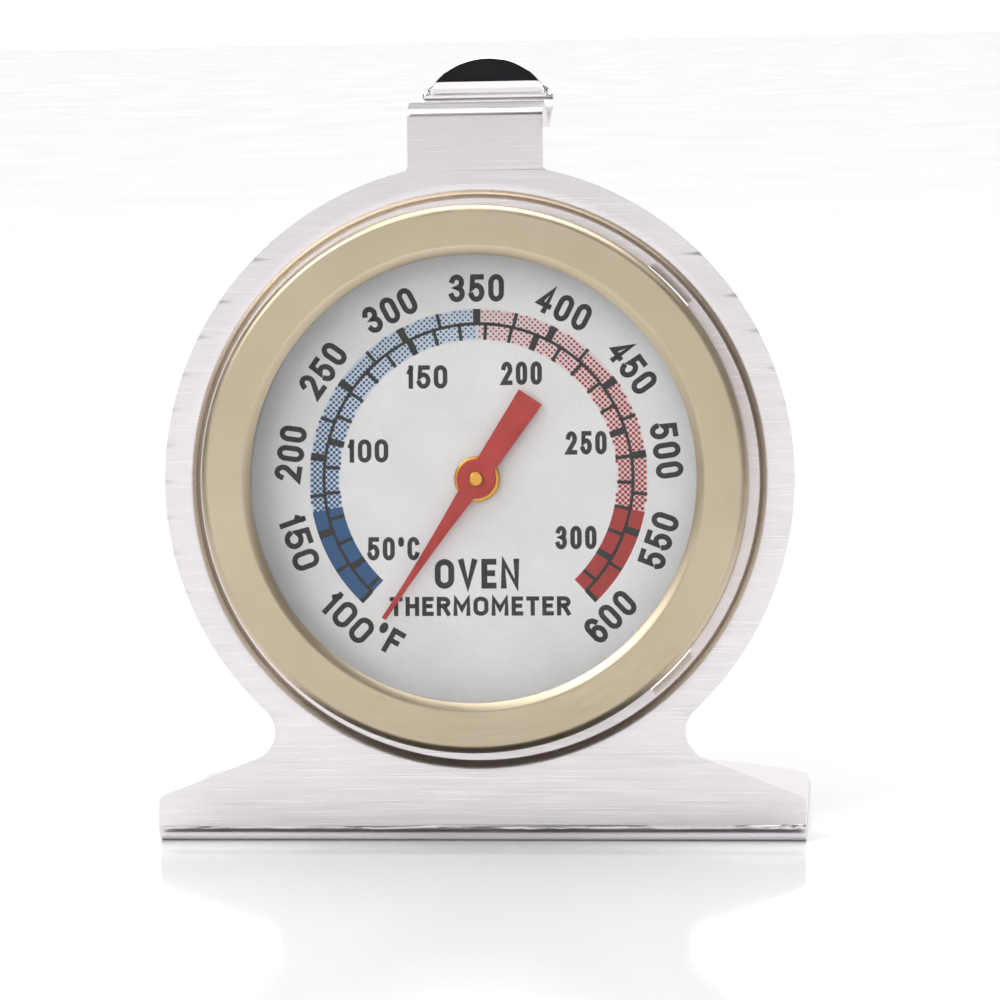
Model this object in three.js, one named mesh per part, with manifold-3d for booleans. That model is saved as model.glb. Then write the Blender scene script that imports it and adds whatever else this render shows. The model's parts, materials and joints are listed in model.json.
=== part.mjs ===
// Oven thermometer on a folded sheet-metal stand, with a hook for an oven rack.
// Millimetres, +Z up. The origin is the centre of the foot's underside, the front faces -Y.
// The stand's face leans back, so the whole head is built in a face frame of its own:
// local x runs to the right, local y up the face and local z out of the face, with the
// origin on the fold where the face meets the floor.

import * as THREE from "three";
import { mergeVertices } from "three/addons/utils/BufferGeometryUtils.js";
import Module from "manifold-3d";

const wasm = await Module();
wasm.setup();

// ---------------------------------------------------------------- driving dimensions

const ROUND = 60; // facets round a large circle
const SMALL_ROUND = 20; // facets round a shaft, rivet or bearing
const OVERCUT = 0.5; // how far a cutting shape runs past what it cuts
const LAP = 1; // how far two joined stretches of the stand's sheet share their metal
const SEAT_GAP = 0.2; // between pieces that rest on each other
const RUN_GAP = 0.15; // between a turning shaft and its bore, all round

// stand: one stamped and folded sheet
const SHEET = 0.6;
const LEAN = THREE.MathUtils.degToRad(8.5);
const BASE_WIDTH = 61;
const FOOT_DEPTH = 38;
const FOOT_REAR_RADIUS = 49.6;
const FOOT_CORNER = 4;
const FOLD_RADIUS = 1.1; // middle of the sheet
const DISC_RIM = 3.15; // flat rim outside the drawn seat
const DISC_FOOT = 4.5; // from the fold up to the disc's lowest point
const SHOULDER_HEIGHT = 4.35;
const SHOULDER_SLOPE = THREE.MathUtils.degToRad(21);
const SHOULDER_CORNER = 0.9;
const NECK_FILLET = 2.7;
const TAB_WIDTH = 12.76;
const TAB_LENGTH = 4.7; // from the top of the disc to the hook's first bend
const TAB_FILLET = 0.5;

// drawn seat in the disc for the head
const SEAT_MARGIN = 1.09; // outside the bezel ring
const SEAT_DEPTH = 0.9;
const SEAT_BEND = 0.45;

// hook, measured back from and up from the tab's bend
const HOOK_BEND = 0.6;
const CREST_BACK = 2.2;
const CREST_RISE = 0.8;
const VALLEY_BACK = 6.8;
const VALLEY_DROP = 1.6;
const TONGUE_BACK = 12.4;
const TONGUE_FOOT_RISE = 0.2;
const TONGUE_RISE = 4.75;
const TONGUE_BEND_RISE = 2.6; // above here the tongue leans back
const TONGUE_LEAN_BACK = 1; // how far its end stands behind its upright stretch
const TONGUE_CURVE = 3;
const TONGUE_SPARE = 1.25; // share of the leaning stretch that is made, before the round end is cut
const TONGUE_TAPER = 0.22; // drawn in at each side, towards the end
const TONGUE_FLATNESS = 0.75; // how far the end's radius is over half its width
const HOOK_CURVE = 1.2;

// bezel ring
const RING_RADIUS = 25.46;
const RING_SHEET = 0.45;
const BEZEL_WIDTH = 4.61; // flat front of the ring, from its outside to the window
const LIP_WIDTH = 0.75;
const LIP_DROP = 0.3;
const SHOULDER_RADIUS = 0.55;
const TAB_COUNT = 4;
const CLINCH_TAB_WIDTH = 5;
const CLINCH_END_GAP = 0.16; // from a clinched tab's end to the edge of the stand's hole

// glass and its spacer
const LENS_THICKNESS = 2;
const LENS_CLEARANCE = 0.82; // from the arbor's end to the glass
const LENS_CHAMFER = 0.25;
const SPACER_WALL = 1;
const SPACER_FLANGE = 0.6;

// case cup
const CUP_SHEET = 0.4;
const CUP_FLANGE = 1.71; // how far the flange stands out from the wall
const CUP_STEP = 1.7; // how far the wall steps in behind the dial
const CUP_BEND = 0.4;
const CUP_CORNER = 1.4;
const VENT_COUNT = 8;
const VENT_RADIUS = 1.7;
const VENT_INSET = 6.4; // from the chamber's wall to the middle of a vent
const SLOT_WIDTH = 3;
const SLOT_LENGTH = 3.2;

// dial and pointer
const DIAL_SHEET = 0.4;
const DIAL_DROP = 0.1; // behind the floor of the stand's seat
const DIAL_HOLE_GAP = 0.75; // round the arbor's bore
const POINTER_SHEET = 0.4;
const POINTER_LIFT = 1.3; // from the dial to the pointer's back
const POINTER_INSET = 6.75; // from its tip to the dial's edge
const POINTER_TAIL = 9.2;
const POINTER_HUB = 1.84;
const POINTER_NECK = 0.85;
const POINTER_TIP = 0.18;
const TAIL_HALF_WIDTH = 1.3;
const NEEDLE_WAIST = 0.45; // where along the needle its sides bend in most
const WAIST_HALF_WIDTH = 0.29;
const REST_ANGLE = THREE.MathUtils.degToRad(34.05); // left of straight down

// movement
const ARBOR_RADIUS = 0.7;
const BOSS_WALL = 1.3;
const BOSS_HEIGHT = 0.8;
const BRIDGE_SHEET = 0.6;
const BRIDGE_WIDTH = 6;
const LEG_CLEARANCE = 1; // from the coil's stud circle to a leg
const FOOT_CLEARANCE = 3; // from the end of a bridge foot to the chamber's wall
const BRIDGE_DROP = 0.8; // behind the dial
const BRIDGE_FOOT = 5;
const BEARING_WALL = 0.65;
const BEARING_FLANGE = 0.8; // how far it stands out from the wall
const FLANGE_HEIGHT = 0.5;
const WASHER_WALL = 0.75;
const WASHER_THICKNESS = 0.2;
const END_PLAY = 0.05;
const COLLET_WALL = 1.25;
const COIL_STRIP = 0.35;
const COIL_WIDTH = 2.5;
const COIL_PITCH = 1.2;
const COIL_JOG = 1.2; // from the last full turn out to the stud
const JOG_ANGLE = THREE.MathUtils.degToRad(75);
const CLEAR_OF_STUD = 1.3; // the move ends this many stud widths before the coil's end
const STUD_RADIUS = 1.4;
const STUD_TAIL = 1.2; // radius of its upset end, behind the cup
const PIN_RADIUS = 0.3;
const RIVET_SHANK = 0.7;
const RIVET_HEAD = 1.5;
const HEAD_HEIGHT = 0.5;
const HEAD_FLAT = 1.05; // radius of the flat on a rivet's head

// ---------------------------------------------------------------- derived places

const SEAT_RADIUS = RING_RADIUS + SEAT_MARGIN;
const DISC_RADIUS = SEAT_RADIUS + DISC_RIM;
const DISC_HEIGHT = DISC_RADIUS + DISC_FOOT; // up the face from the fold
const TAB_HEIGHT = DISC_HEIGHT + DISC_RADIUS + TAB_LENGTH;
const HALF_BASE = BASE_WIDTH / 2;
const HALF_TAB = TAB_WIDTH / 2;
const FOLD_LINE_Y = -FOOT_DEPTH / 2;
const FOLD_TURN = Math.PI / 2 + LEAN;
const FOLD_TANGENT = (FOLD_RADIUS + SHEET / 2) * Math.tan(FOLD_TURN / 2);

const SEAT_FRONT = -SEAT_DEPTH;
const SEAT_BACK = SEAT_FRONT - SHEET;
const SKIRT_INSIDE = RING_RADIUS - RING_SHEET;
const SKIRT_END = SEAT_FRONT + SEAT_GAP;
const CLINCH_FRONT = SEAT_BACK - SEAT_GAP;
const WINDOW_RADIUS = RING_RADIUS - BEZEL_WIDTH;

const FLANGE_BACK = SEAT_FRONT + SEAT_GAP;
const FLANGE_FRONT = FLANGE_BACK + CUP_SHEET;
const FLANGE_RADIUS = SKIRT_INSIDE - SEAT_GAP;
const CUP_RADIUS = FLANGE_RADIUS - CUP_FLANGE; // outside, where it passes the stand
const CUP_INSIDE = CUP_RADIUS - CUP_SHEET;
const HOLE_RADIUS = CUP_RADIUS + 2 * RUN_GAP;
const DIAL_FRONT = SEAT_FRONT - DIAL_DROP;
const DIAL_BACK = DIAL_FRONT - DIAL_SHEET;
const DIAL_RADIUS = CUP_INSIDE - SEAT_GAP;
const STEP_FRONT = DIAL_BACK - SEAT_GAP;
const CHAMBER_RADIUS = CUP_RADIUS - CUP_STEP; // outside of the rear wall

// the movement stacks back from the dial: bridge, bearing, washer, coil, washer, bearing
const BORE_RADIUS = ARBOR_RADIUS + RUN_GAP;
const BEARING_RADIUS = BORE_RADIUS + BEARING_WALL;
const BEARING_FLANGE_RADIUS = BEARING_RADIUS + BEARING_FLANGE;
const COLLET_RADIUS = BORE_RADIUS + COLLET_WALL;
const BRIDGE_FRONT = DIAL_BACK - BRIDGE_DROP;
const BRIDGE_BACK = BRIDGE_FRONT - BRIDGE_SHEET;
const FRONT_FLANGE_BACK = BRIDGE_BACK - SEAT_GAP - FLANGE_HEIGHT;
const FRONT_WASHER = FRONT_FLANGE_BACK - RUN_GAP;
const COLLET_FRONT = FRONT_WASHER - WASHER_THICKNESS - RUN_GAP;
const COLLET_BACK = COLLET_FRONT - COIL_WIDTH;
const REAR_WASHER = COLLET_BACK - RUN_GAP;
const REAR_FLANGE_FRONT = REAR_WASHER - WASHER_THICKNESS - END_PLAY;
const REAR_FLANGE_BACK = REAR_FLANGE_FRONT - FLANGE_HEIGHT;
const FLOOR_INSIDE = REAR_FLANGE_BACK - SEAT_GAP;
const FLOOR_OUTSIDE = FLOOR_INSIDE - CUP_SHEET;
const COIL_START = COLLET_RADIUS + 2 * RUN_GAP + COIL_STRIP / 2;

// and out from the arbor, inside the chamber's wall: coil, stud, bridge legs and feet
const BRIDGE_END = CHAMBER_RADIUS - CUP_SHEET - FOOT_CLEARANCE;
const BRIDGE_SPAN = BRIDGE_END - BRIDGE_FOOT - BRIDGE_SHEET; // to the inside of a leg
const STUD_PLACE = BRIDGE_SPAN - LEG_CLEARANCE;
const COIL_RADIUS = STUD_PLACE - COIL_JOG; // last full turn
const BRIDGE_FOOT_BACK = FLOOR_INSIDE + SEAT_GAP;
const BRIDGE_FOOT_FRONT = BRIDGE_FOOT_BACK + BRIDGE_SHEET;
const RIVET_PLACE = BRIDGE_SPAN + BRIDGE_FOOT / 2 + BRIDGE_SHEET;
const VENT_CIRCLE = CHAMBER_RADIUS - VENT_INSET;

// and forward from it: boss, pointer, the arbor's end, glass, bezel ring
const POINTER_BACK = DIAL_FRONT + POINTER_LIFT;
const POINTER_FRONT = POINTER_BACK + POINTER_SHEET;
const POINTER_LENGTH = DIAL_RADIUS - POINTER_INSET;
const BOSS_FRONT = POINTER_BACK - SEAT_GAP;
const ARBOR_FRONT = POINTER_FRONT + 2 * SEAT_GAP;
const ARBOR_BACK = FLOOR_OUTSIDE - SEAT_GAP;
const LENS_BACK = ARBOR_FRONT + LENS_CLEARANCE;
const LENS_FRONT = LENS_BACK + LENS_THICKNESS;
const RING_FRONT = LENS_FRONT + SEAT_GAP + LIP_DROP + RING_SHEET;

// ---------------------------------------------------------------- shape helpers

const v2 = (x, y) => new THREE.Vector2(x, y);

/** A closed solid from a closed three.js geometry. */
function solid(geometry) {
  const bare = geometry.clone();
  bare.deleteAttribute("normal");
  bare.deleteAttribute("uv");
  const merged = mergeVertices(bare, 1e-5);
  const index = merged.index.array;
  const corners = [];
  for (let i = 0; i < index.length; i += 3) {
    const [a, b, c] = [index[i], index[i + 1], index[i + 2]];
    if (a !== b && b !== c && c !== a) corners.push(a, b, c);
  }
  const mesh = new wasm.Mesh({
    numProp: 3,
    vertProperties: new Float32Array(merged.attributes.position.array),
    triVerts: new Uint32Array(corners),
  });
  return new wasm.Manifold(mesh);
}

/** The three.js geometry of a solid. */
function geometryOf(body) {
  const { numProp, vertProperties, triVerts } = body.getMesh();
  const place = new Float32Array((vertProperties.length / numProp) * 3);
  for (let i = 0; i < place.length / 3; i++) {
    for (let k = 0; k < 3; k++) place[3 * i + k] = vertProperties[numProp * i + k];
  }
  const geometry = new THREE.BufferGeometry();
  geometry.setAttribute("position", new THREE.BufferAttribute(place, 3));
  geometry.setIndex(new THREE.BufferAttribute(new Uint32Array(triVerts), 1));
  geometry.computeVertexNormals();
  return geometry;
}

const joined = (first, ...rest) => rest.reduce((body, next) => body.add(next), first);
const cutBy = (first, ...rest) => rest.reduce((body, next) => body.subtract(next), first);

/** Points of a line through the corners, each corner rounded to its own radius. */
function roundedPath(corners, steps = 5) {
  const points = [corners[0].at.clone()];
  for (let i = 1; i < corners.length - 1; i++) {
    const { at, radius } = corners[i];
    const back = corners[i - 1].at.clone().sub(at).normalize();
    const on = corners[i + 1].at.clone().sub(at).normalize();
    const half = Math.acos(THREE.MathUtils.clamp(back.dot(on), -1, 1)) / 2;
    const centre = back.clone().add(on).normalize().multiplyScalar(radius / Math.sin(half)).add(at);
    const first = back.clone().multiplyScalar(radius / Math.tan(half)).add(at).sub(centre);
    const side = Math.sign(back.cross(on)) || 1;
    for (let k = 0; k <= steps; k++) {
      const turn = (-side * (Math.PI - 2 * half) * k) / steps;
      points.push(first.clone().rotateAround(v2(0, 0), turn).add(centre));
    }
  }
  points.push(corners.at(-1).at.clone());
  return points;
}

/** Outline of a strip of even thickness whose middle follows the points. */
function stripOutline(points, thickness) {
  const left = [];
  const right = [];
  points.forEach((point, i) => {
    const before = points[Math.max(i - 1, 0)];
    const after = points[Math.min(i + 1, points.length - 1)];
    const a = point.clone().sub(before).normalize();
    const b = after.clone().sub(point).normalize();
    if (i === 0) a.copy(b);
    if (i === points.length - 1) b.copy(a);
    const along = a.clone().add(b).normalize();
    const across = v2(-along.y, along.x);
    const reach = thickness / 2 / Math.max(0.5, across.dot(v2(-a.y, a.x)));
    left.push(point.clone().addScaledVector(across, reach));
    right.push(point.clone().addScaledVector(across, -reach));
  });
  return [...left, ...right.reverse()];
}

/** A shape pushed out to a depth along its own z. */
function extruded(outline, depth, curveSegments = 12) {
  const shape = outline instanceof THREE.Shape ? outline : new THREE.Shape(outline);
  return new THREE.ExtrudeGeometry(shape, { depth, bevelEnabled: false, curveSegments });
}

/** A closed profile of (radius, height) points turned round local z. */
function turned(profile, facets = ROUND) {
  const counterClockwise = THREE.ShapeUtils.area(profile) > 0;
  const way = counterClockwise ? [...profile] : [...profile].reverse();
  return new THREE.LatheGeometry([...way, way[0]], facets).rotateX(Math.PI / 2);
}

/** A ring or disc with square edges, from inner to outer radius. */
function ring(inner, outer, back, front, facets = ROUND) {
  return turned([v2(inner, back), v2(outer, back), v2(outer, front), v2(inner, front)], facets);
}

/** A plain round bar along local z. */
function bar(radius, back, front, facets = SMALL_ROUND) {
  const geometry = new THREE.CylinderGeometry(radius, radius, front - back, facets);
  return geometry.rotateX(Math.PI / 2).translate(0, 0, (front + back) / 2);
}

/** A block given by its lowest and highest corners. */
function block(low, high) {
  const size = high.map((value, i) => value - low[i]);
  const middle = high.map((value, i) => (value + low[i]) / 2);
  return new THREE.BoxGeometry(...size).translate(...middle);
}

/** Copies of a geometry, evenly turned round local z, as one solid. */
function roundAbout(geometry, count, start = 0) {
  const turns = Array.from({ length: count }, (_, i) => start + (2 * Math.PI * i) / count);
  const copies = turns.map((turn) => solid(geometry.clone().rotateZ(turn)));
  return joined(...copies);
}

/** Turns a stepped shaft, with a bore if the radius is given, from [radius, height] steps. */
function steppedShaft(steps, bore = 0) {
  const outer = steps.map(([radius, height]) => v2(radius, height));
  const ends = [v2(bore, steps.at(-1)[1]), v2(bore, steps[0][1])];
  if (bore > 0) return turned([...outer, ...ends], SMALL_ROUND);
  const profile = [ends[1], ...outer, ends[0]];
  return new THREE.LatheGeometry(profile, SMALL_ROUND).rotateX(Math.PI / 2);
}

// ---------------------------------------------------------------- materials

const finish = (color, roughness, metalness) =>
  new THREE.MeshStandardMaterial({ color, roughness, metalness });

const BRUSHED_STEEL = finish(0xd9d6da, 0.32, 1);
const CHAMPAGNE = finish(0xc9b99a, 0.42, 1);
const ALUMINIUM = finish(0xd4d8da, 0.4, 1);
const BRASS = finish(0xd9a548, 0.3, 1);
const STEEL = finish(0xb9babd, 0.35, 1);
const BIMETAL = finish(0xb8a98c, 0.38, 1);
const RED_PAINT = finish(0xb84642, 0.5, 0);
const GLASS = new THREE.MeshStandardMaterial({
  color: 0xffffff,
  roughness: 0.05,
  metalness: 0,
  transparent: true,
  opacity: 0.25,
});

// ---------------------------------------------------------------- stand

/** Front outline of the face: foot edge, sloping shoulders, neck fillets, disc and tab. */
function faceOutline() {
  const slope = v2(-Math.cos(SHOULDER_SLOPE), Math.sin(SHOULDER_SLOPE));
  const up = v2(slope.y, -slope.x);
  const corner = v2(HALF_BASE, SHOULDER_HEIGHT);
  const disc = v2(0, DISC_HEIGHT);
  // the neck fillet touches the shoulder line and the disc
  const start = corner.clone().addScaledVector(up, NECK_FILLET).sub(disc);
  const reach = DISC_RADIUS + NECK_FILLET;
  const half = start.dot(slope);
  const along = -half - Math.sqrt(half * half - start.lengthSq() + reach * reach);
  const neck = start.clone().addScaledVector(slope, along).add(disc);
  const onShoulder = neck.clone().addScaledVector(up, -NECK_FILLET);
  const toDisc = disc.clone().sub(neck);
  const discAngle = Math.atan2(-toDisc.y, -toDisc.x);
  // the tab's small fillet touches the disc and the tab's side
  const tabX = HALF_TAB + TAB_FILLET;
  const tabY = DISC_HEIGHT + Math.sqrt((DISC_RADIUS + TAB_FILLET) ** 2 - tabX ** 2);
  const tabAngle = Math.atan2(tabY - DISC_HEIGHT, tabX);
  const edge = [v2(HALF_BASE, FOLD_TANGENT)];
  const shoulder = [
    { at: v2(HALF_BASE, FOLD_TANGENT) },
    { at: corner, radius: SHOULDER_CORNER },
    { at: onShoulder },
  ];
  edge.push(...roundedPath(shoulder, 4).slice(1));
  const arc = (centre, radius, from, to, steps) => {
    for (let k = 1; k <= steps; k++) {
      const angle = from + ((to - from) * k) / steps;
      edge.push(v2(centre.x + radius * Math.cos(angle), centre.y + radius * Math.sin(angle)));
    }
  };
  const down = Math.atan2(-up.y, -up.x) + 2 * Math.PI;
  arc(neck, NECK_FILLET, down, Math.atan2(toDisc.y, toDisc.x), 8);
  arc(disc, DISC_RADIUS, discAngle, tabAngle, ROUND / 2);
  arc(v2(tabX, tabY), TAB_FILLET, tabAngle - Math.PI, -Math.PI, 3);
  edge.push(v2(HALF_TAB, TAB_HEIGHT));
  const mirrored = edge.map((point) => v2(-point.x, point.y)).reverse();
  return [...edge, ...mirrored];
}

/** The drawn seat: the sheet steps back all round and ends at the hole for the cup. */
function drawnSeat() {
  const front = -SHEET / 2;
  const floor = SEAT_FRONT - SHEET / 2;
  const wall = SEAT_RADIUS + SHEET / 2;
  const path = roundedPath([
    { at: v2(wall + 2 * SEAT_BEND + SHEET, front) },
    { at: v2(wall, front), radius: SEAT_BEND },
    { at: v2(wall, floor), radius: SEAT_BEND },
    { at: v2(HOLE_RADIUS, floor) },
  ], 3);
  return turned(stripOutline(path, SHEET));
}

/** The leaning face with its seat and the slots for the ring's clinch tabs. */
function standFace() {
  const plate = solid(extruded(faceOutline(), SHEET).translate(0, 0, -SHEET));
  const opening = SEAT_RADIUS + SHEET + 2 * SEAT_BEND;
  const hole = bar(opening, -2 * SHEET, SHEET, ROUND).translate(0, DISC_HEIGHT, 0);
  const seat = drawnSeat().translate(0, DISC_HEIGHT, 0);
  const [inner, outer] = [SKIRT_INSIDE - RUN_GAP, RING_RADIUS + RUN_GAP];
  const slotRing = ring(inner, outer, SEAT_BACK - OVERCUT, SEAT_FRONT + OVERCUT);
  const half = CLINCH_TAB_WIDTH / 2 + RUN_GAP;
  const gate = block([0, -half, 2 * SEAT_BACK], [outer + OVERCUT, half, SHEET]);
  const gates = roundAbout(gate, TAB_COUNT, Math.PI / TAB_COUNT);
  const slots = solid(slotRing).intersect(gates).translate(0, DISC_HEIGHT, 0);
  return cutBy(joined(plate.subtract(solid(hole)), solid(seat)), slots);
}

/** The foot and the fold, cut to the foot's outline seen from above. */
function standFoot() {
  const profile = roundedPath([
    { at: v2(FOOT_DEPTH, SHEET / 2) },
    { at: foldMiddle(), radius: FOLD_RADIUS },
    { at: onFace(FOLD_TANGENT + LAP, -SHEET / 2) },
  ], 6);
  const strip = extruded(stripOutline(profile, SHEET), BASE_WIDTH);
  strip.rotateY(Math.PI / 2).rotateX(Math.PI / 2).translate(-HALF_BASE, 0, 0);
  return solid(strip).intersect(solid(footPrism()));
}

/** Where the middle lines of foot and face would meet. */
function foldMiddle() {
  const back = ((SHEET / 2) * (1 + Math.sin(LEAN))) / Math.cos(LEAN);
  return v2(back, SHEET / 2);
}

/** (back, up) of a point on the face, given up the face and out of it. */
function onFace(up, out) {
  return v2(up * Math.sin(LEAN) - out * Math.cos(LEAN), up * Math.cos(LEAN) + out * Math.sin(LEAN));
}

/** An upright prism over the foot's outline: straight sides and a bowed rear edge. */
function footPrism() {
  const centre = FOOT_DEPTH - FOOT_REAR_RADIUS;
  const inner = FOOT_REAR_RADIUS - FOOT_CORNER;
  const cornerX = HALF_BASE - FOOT_CORNER;
  const cornerY = centre + Math.sqrt(inner ** 2 - cornerX ** 2);
  const bow = Math.atan2(cornerY - centre, cornerX);
  const shape = new THREE.Shape();
  shape.moveTo(-HALF_BASE, -FOLD_RADIUS * 2);
  shape.lineTo(HALF_BASE, -FOLD_RADIUS * 2);
  shape.absarc(cornerX, cornerY, FOOT_CORNER, 0, bow, false);
  shape.absarc(0, centre, FOOT_REAR_RADIUS, bow, Math.PI - bow, false);
  shape.absarc(-cornerX, cornerY, FOOT_CORNER, Math.PI - bow, Math.PI, false);
  return extruded(shape, TAB_HEIGHT, 10).translate(0, 0, -OVERCUT);
}

/** The hook: the tab bends back over a crest, dips, and turns up into a round-ended tongue. */
function standHook() {
  const leanRise = TONGUE_RISE - TONGUE_BEND_RISE;
  const bend = onFace(TAB_HEIGHT, -SHEET / 2);
  const from = (back, up) => v2(bend.x + back, bend.y + up);
  const profile = roundedPath([
    { at: onFace(TAB_HEIGHT - 2 * LAP, -SHEET / 2) },
    { at: bend, radius: HOOK_BEND },
    { at: from(CREST_BACK, CREST_RISE), radius: HOOK_CURVE },
    { at: from(VALLEY_BACK, -VALLEY_DROP), radius: HOOK_CURVE },
    { at: from(TONGUE_BACK, TONGUE_FOOT_RISE), radius: HOOK_CURVE },
    { at: from(TONGUE_BACK, TONGUE_BEND_RISE), radius: TONGUE_CURVE },
    {
      at: from(
        TONGUE_BACK + TONGUE_LEAN_BACK * TONGUE_SPARE,
        TONGUE_BEND_RISE + leanRise * TONGUE_SPARE,
      ),
    },
  ]);
  const strip = extruded(stripOutline(profile, SHEET), TAB_WIDTH);
  strip.rotateY(Math.PI / 2).rotateX(Math.PI / 2).translate(-HALF_TAB, 0, 0);
  return solid(strip).intersect(solid(tonguePrism(bend.y + TONGUE_RISE)));
}

/** A level prism, seen from the front, that draws the tongue in and rounds its end. */
function tonguePrism(top) {
  const half = HALF_TAB - TONGUE_TAPER;
  const radius = half + TONGUE_FLATNESS;
  const centre = top - radius;
  const reach = Math.asin(half / radius);
  const shape = new THREE.Shape();
  shape.moveTo(-HALF_TAB - OVERCUT, 0);
  shape.lineTo(HALF_TAB + OVERCUT, 0);
  shape.lineTo(HALF_TAB + OVERCUT, top - TONGUE_RISE - VALLEY_DROP);
  shape.lineTo(HALF_TAB, top - TONGUE_RISE - VALLEY_DROP);
  shape.absarc(0, centre, radius, Math.PI / 2 - reach, Math.PI / 2 + reach, false);
  shape.lineTo(-HALF_TAB, top - TONGUE_RISE - VALLEY_DROP);
  shape.lineTo(-HALF_TAB - OVERCUT, top - TONGUE_RISE - VALLEY_DROP);
  return extruded(shape, 4 * FOOT_DEPTH, 12).rotateX(Math.PI / 2).translate(0, 2 * FOOT_DEPTH, 0);
}

/** Turns geometry made in the face frame into the stand's upright frame. */
const tilted = (body) => solid(geometryOf(body).rotateX(Math.PI / 2 - LEAN));

const stand = () => geometryOf(joined(tilted(standFace()), standFoot(), standHook()));

// ---------------------------------------------------------------- head, round local z

/** Bezel ring: flat front, rolled lip onto the glass, deep skirt and four clinched tabs. */
function bezelRing() {
  const middle = RING_FRONT - RING_SHEET / 2;
  const wall = RING_RADIUS - RING_SHEET / 2;
  const path = roundedPath([
    { at: v2(WINDOW_RADIUS, middle - LIP_DROP) },
    { at: v2(WINDOW_RADIUS + LIP_WIDTH, middle), radius: SHOULDER_RADIUS },
    { at: v2(wall, middle), radius: SHOULDER_RADIUS },
    { at: v2(wall, SKIRT_END) },
  ], 3);
  const tabPath = roundedPath([
    { at: v2(wall, SKIRT_END + LAP) },
    { at: v2(wall, CLINCH_FRONT - RING_SHEET / 2), radius: RING_SHEET / 2 },
    { at: v2(HOLE_RADIUS + CLINCH_END_GAP, CLINCH_FRONT - RING_SHEET / 2) },
  ], 2);
  const half = CLINCH_TAB_WIDTH / 2;
  const gate = block([0, -half, FLOOR_OUTSIDE], [RING_RADIUS + OVERCUT, half, RING_FRONT]);
  const gates = roundAbout(gate, TAB_COUNT, Math.PI / TAB_COUNT);
  const tabs = solid(turned(stripOutline(tabPath, RING_SHEET))).intersect(gates);
  return geometryOf(solid(turned(stripOutline(path, RING_SHEET))).add(tabs));
}

/** Flat round glass with its edge ground off. */
function lens() {
  const radius = SKIRT_INSIDE - SEAT_GAP;
  const profile = [
    v2(0, LENS_BACK),
    v2(radius - LENS_CHAMFER, LENS_BACK),
    v2(radius, LENS_BACK + LENS_CHAMFER),
    v2(radius, LENS_FRONT - LENS_CHAMFER),
    v2(radius - LENS_CHAMFER, LENS_FRONT),
    v2(0, LENS_FRONT),
  ];
  return new THREE.LatheGeometry(profile, ROUND).rotateX(Math.PI / 2);
}

/** Spacer: a flange on the cup's flange, and a sleeve from the dial to the glass. */
function lensSpacer() {
  const sleeve = DIAL_RADIUS - SPACER_WALL;
  const back = FLANGE_FRONT + SEAT_GAP;
  return turned([
    v2(sleeve, DIAL_FRONT + SEAT_GAP),
    v2(DIAL_RADIUS, DIAL_FRONT + SEAT_GAP),
    v2(DIAL_RADIUS, back),
    v2(FLANGE_RADIUS, back),
    v2(FLANGE_RADIUS, back + SPACER_FLANGE),
    v2(DIAL_RADIUS, back + SPACER_FLANGE),
    v2(DIAL_RADIUS, LENS_BACK - SEAT_GAP),
    v2(sleeve, LENS_BACK - SEAT_GAP),
  ]);
}

/** Case cup: flange, wall through the stand, step for the dial, chamber with vents. */
function caseCup() {
  const flange = FLANGE_BACK + CUP_SHEET / 2;
  const wall = CUP_RADIUS - CUP_SHEET / 2;
  const step = STEP_FRONT - CUP_SHEET / 2;
  const rear = CHAMBER_RADIUS - CUP_SHEET / 2;
  const floor = FLOOR_INSIDE - CUP_SHEET / 2;
  const path = roundedPath([
    { at: v2(FLANGE_RADIUS, flange) },
    { at: v2(wall, flange), radius: CUP_BEND },
    { at: v2(wall, step), radius: CUP_BEND },
    { at: v2(rear, step), radius: CUP_BEND },
    { at: v2(rear, floor), radius: CUP_CORNER },
    { at: v2(BEARING_RADIUS + RUN_GAP, floor) },
  ], 2);
  const [below, above] = [FLOOR_OUTSIDE - OVERCUT, FLOOR_INSIDE + OVERCUT];
  const vent = bar(VENT_RADIUS, below, above, 16).translate(VENT_CIRCLE, 0, 0);
  const slotBack = (STEP_FRONT + FLOOR_INSIDE) / 2 - SLOT_LENGTH / 2;
  const slot = block([CHAMBER_RADIUS - CUP_SHEET - OVERCUT, -SLOT_WIDTH / 2, slotBack],
    [CHAMBER_RADIUS + OVERCUT, SLOT_WIDTH / 2, slotBack + SLOT_LENGTH]);
  const rivetHole = bar(RIVET_SHANK + RUN_GAP, below, above, 12);
  const halfStep = Math.PI / VENT_COUNT;
  return geometryOf(cutBy(
    solid(turned(stripOutline(path, CUP_SHEET))),
    roundAbout(vent, VENT_COUNT, halfStep),
    roundAbout(slot, VENT_COUNT, halfStep),
    solid(rivetHole.clone().translate(RIVET_PLACE, 0, 0)),
    solid(rivetHole.clone().translate(-RIVET_PLACE, 0, 0)),
    solid(rivetHole.clone().translate(0, STUD_PLACE, 0)),
  ));
}

const dial = () => ring(BORE_RADIUS + DIAL_HOLE_GAP, DIAL_RADIUS, DIAL_BACK, DIAL_FRONT);

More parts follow.
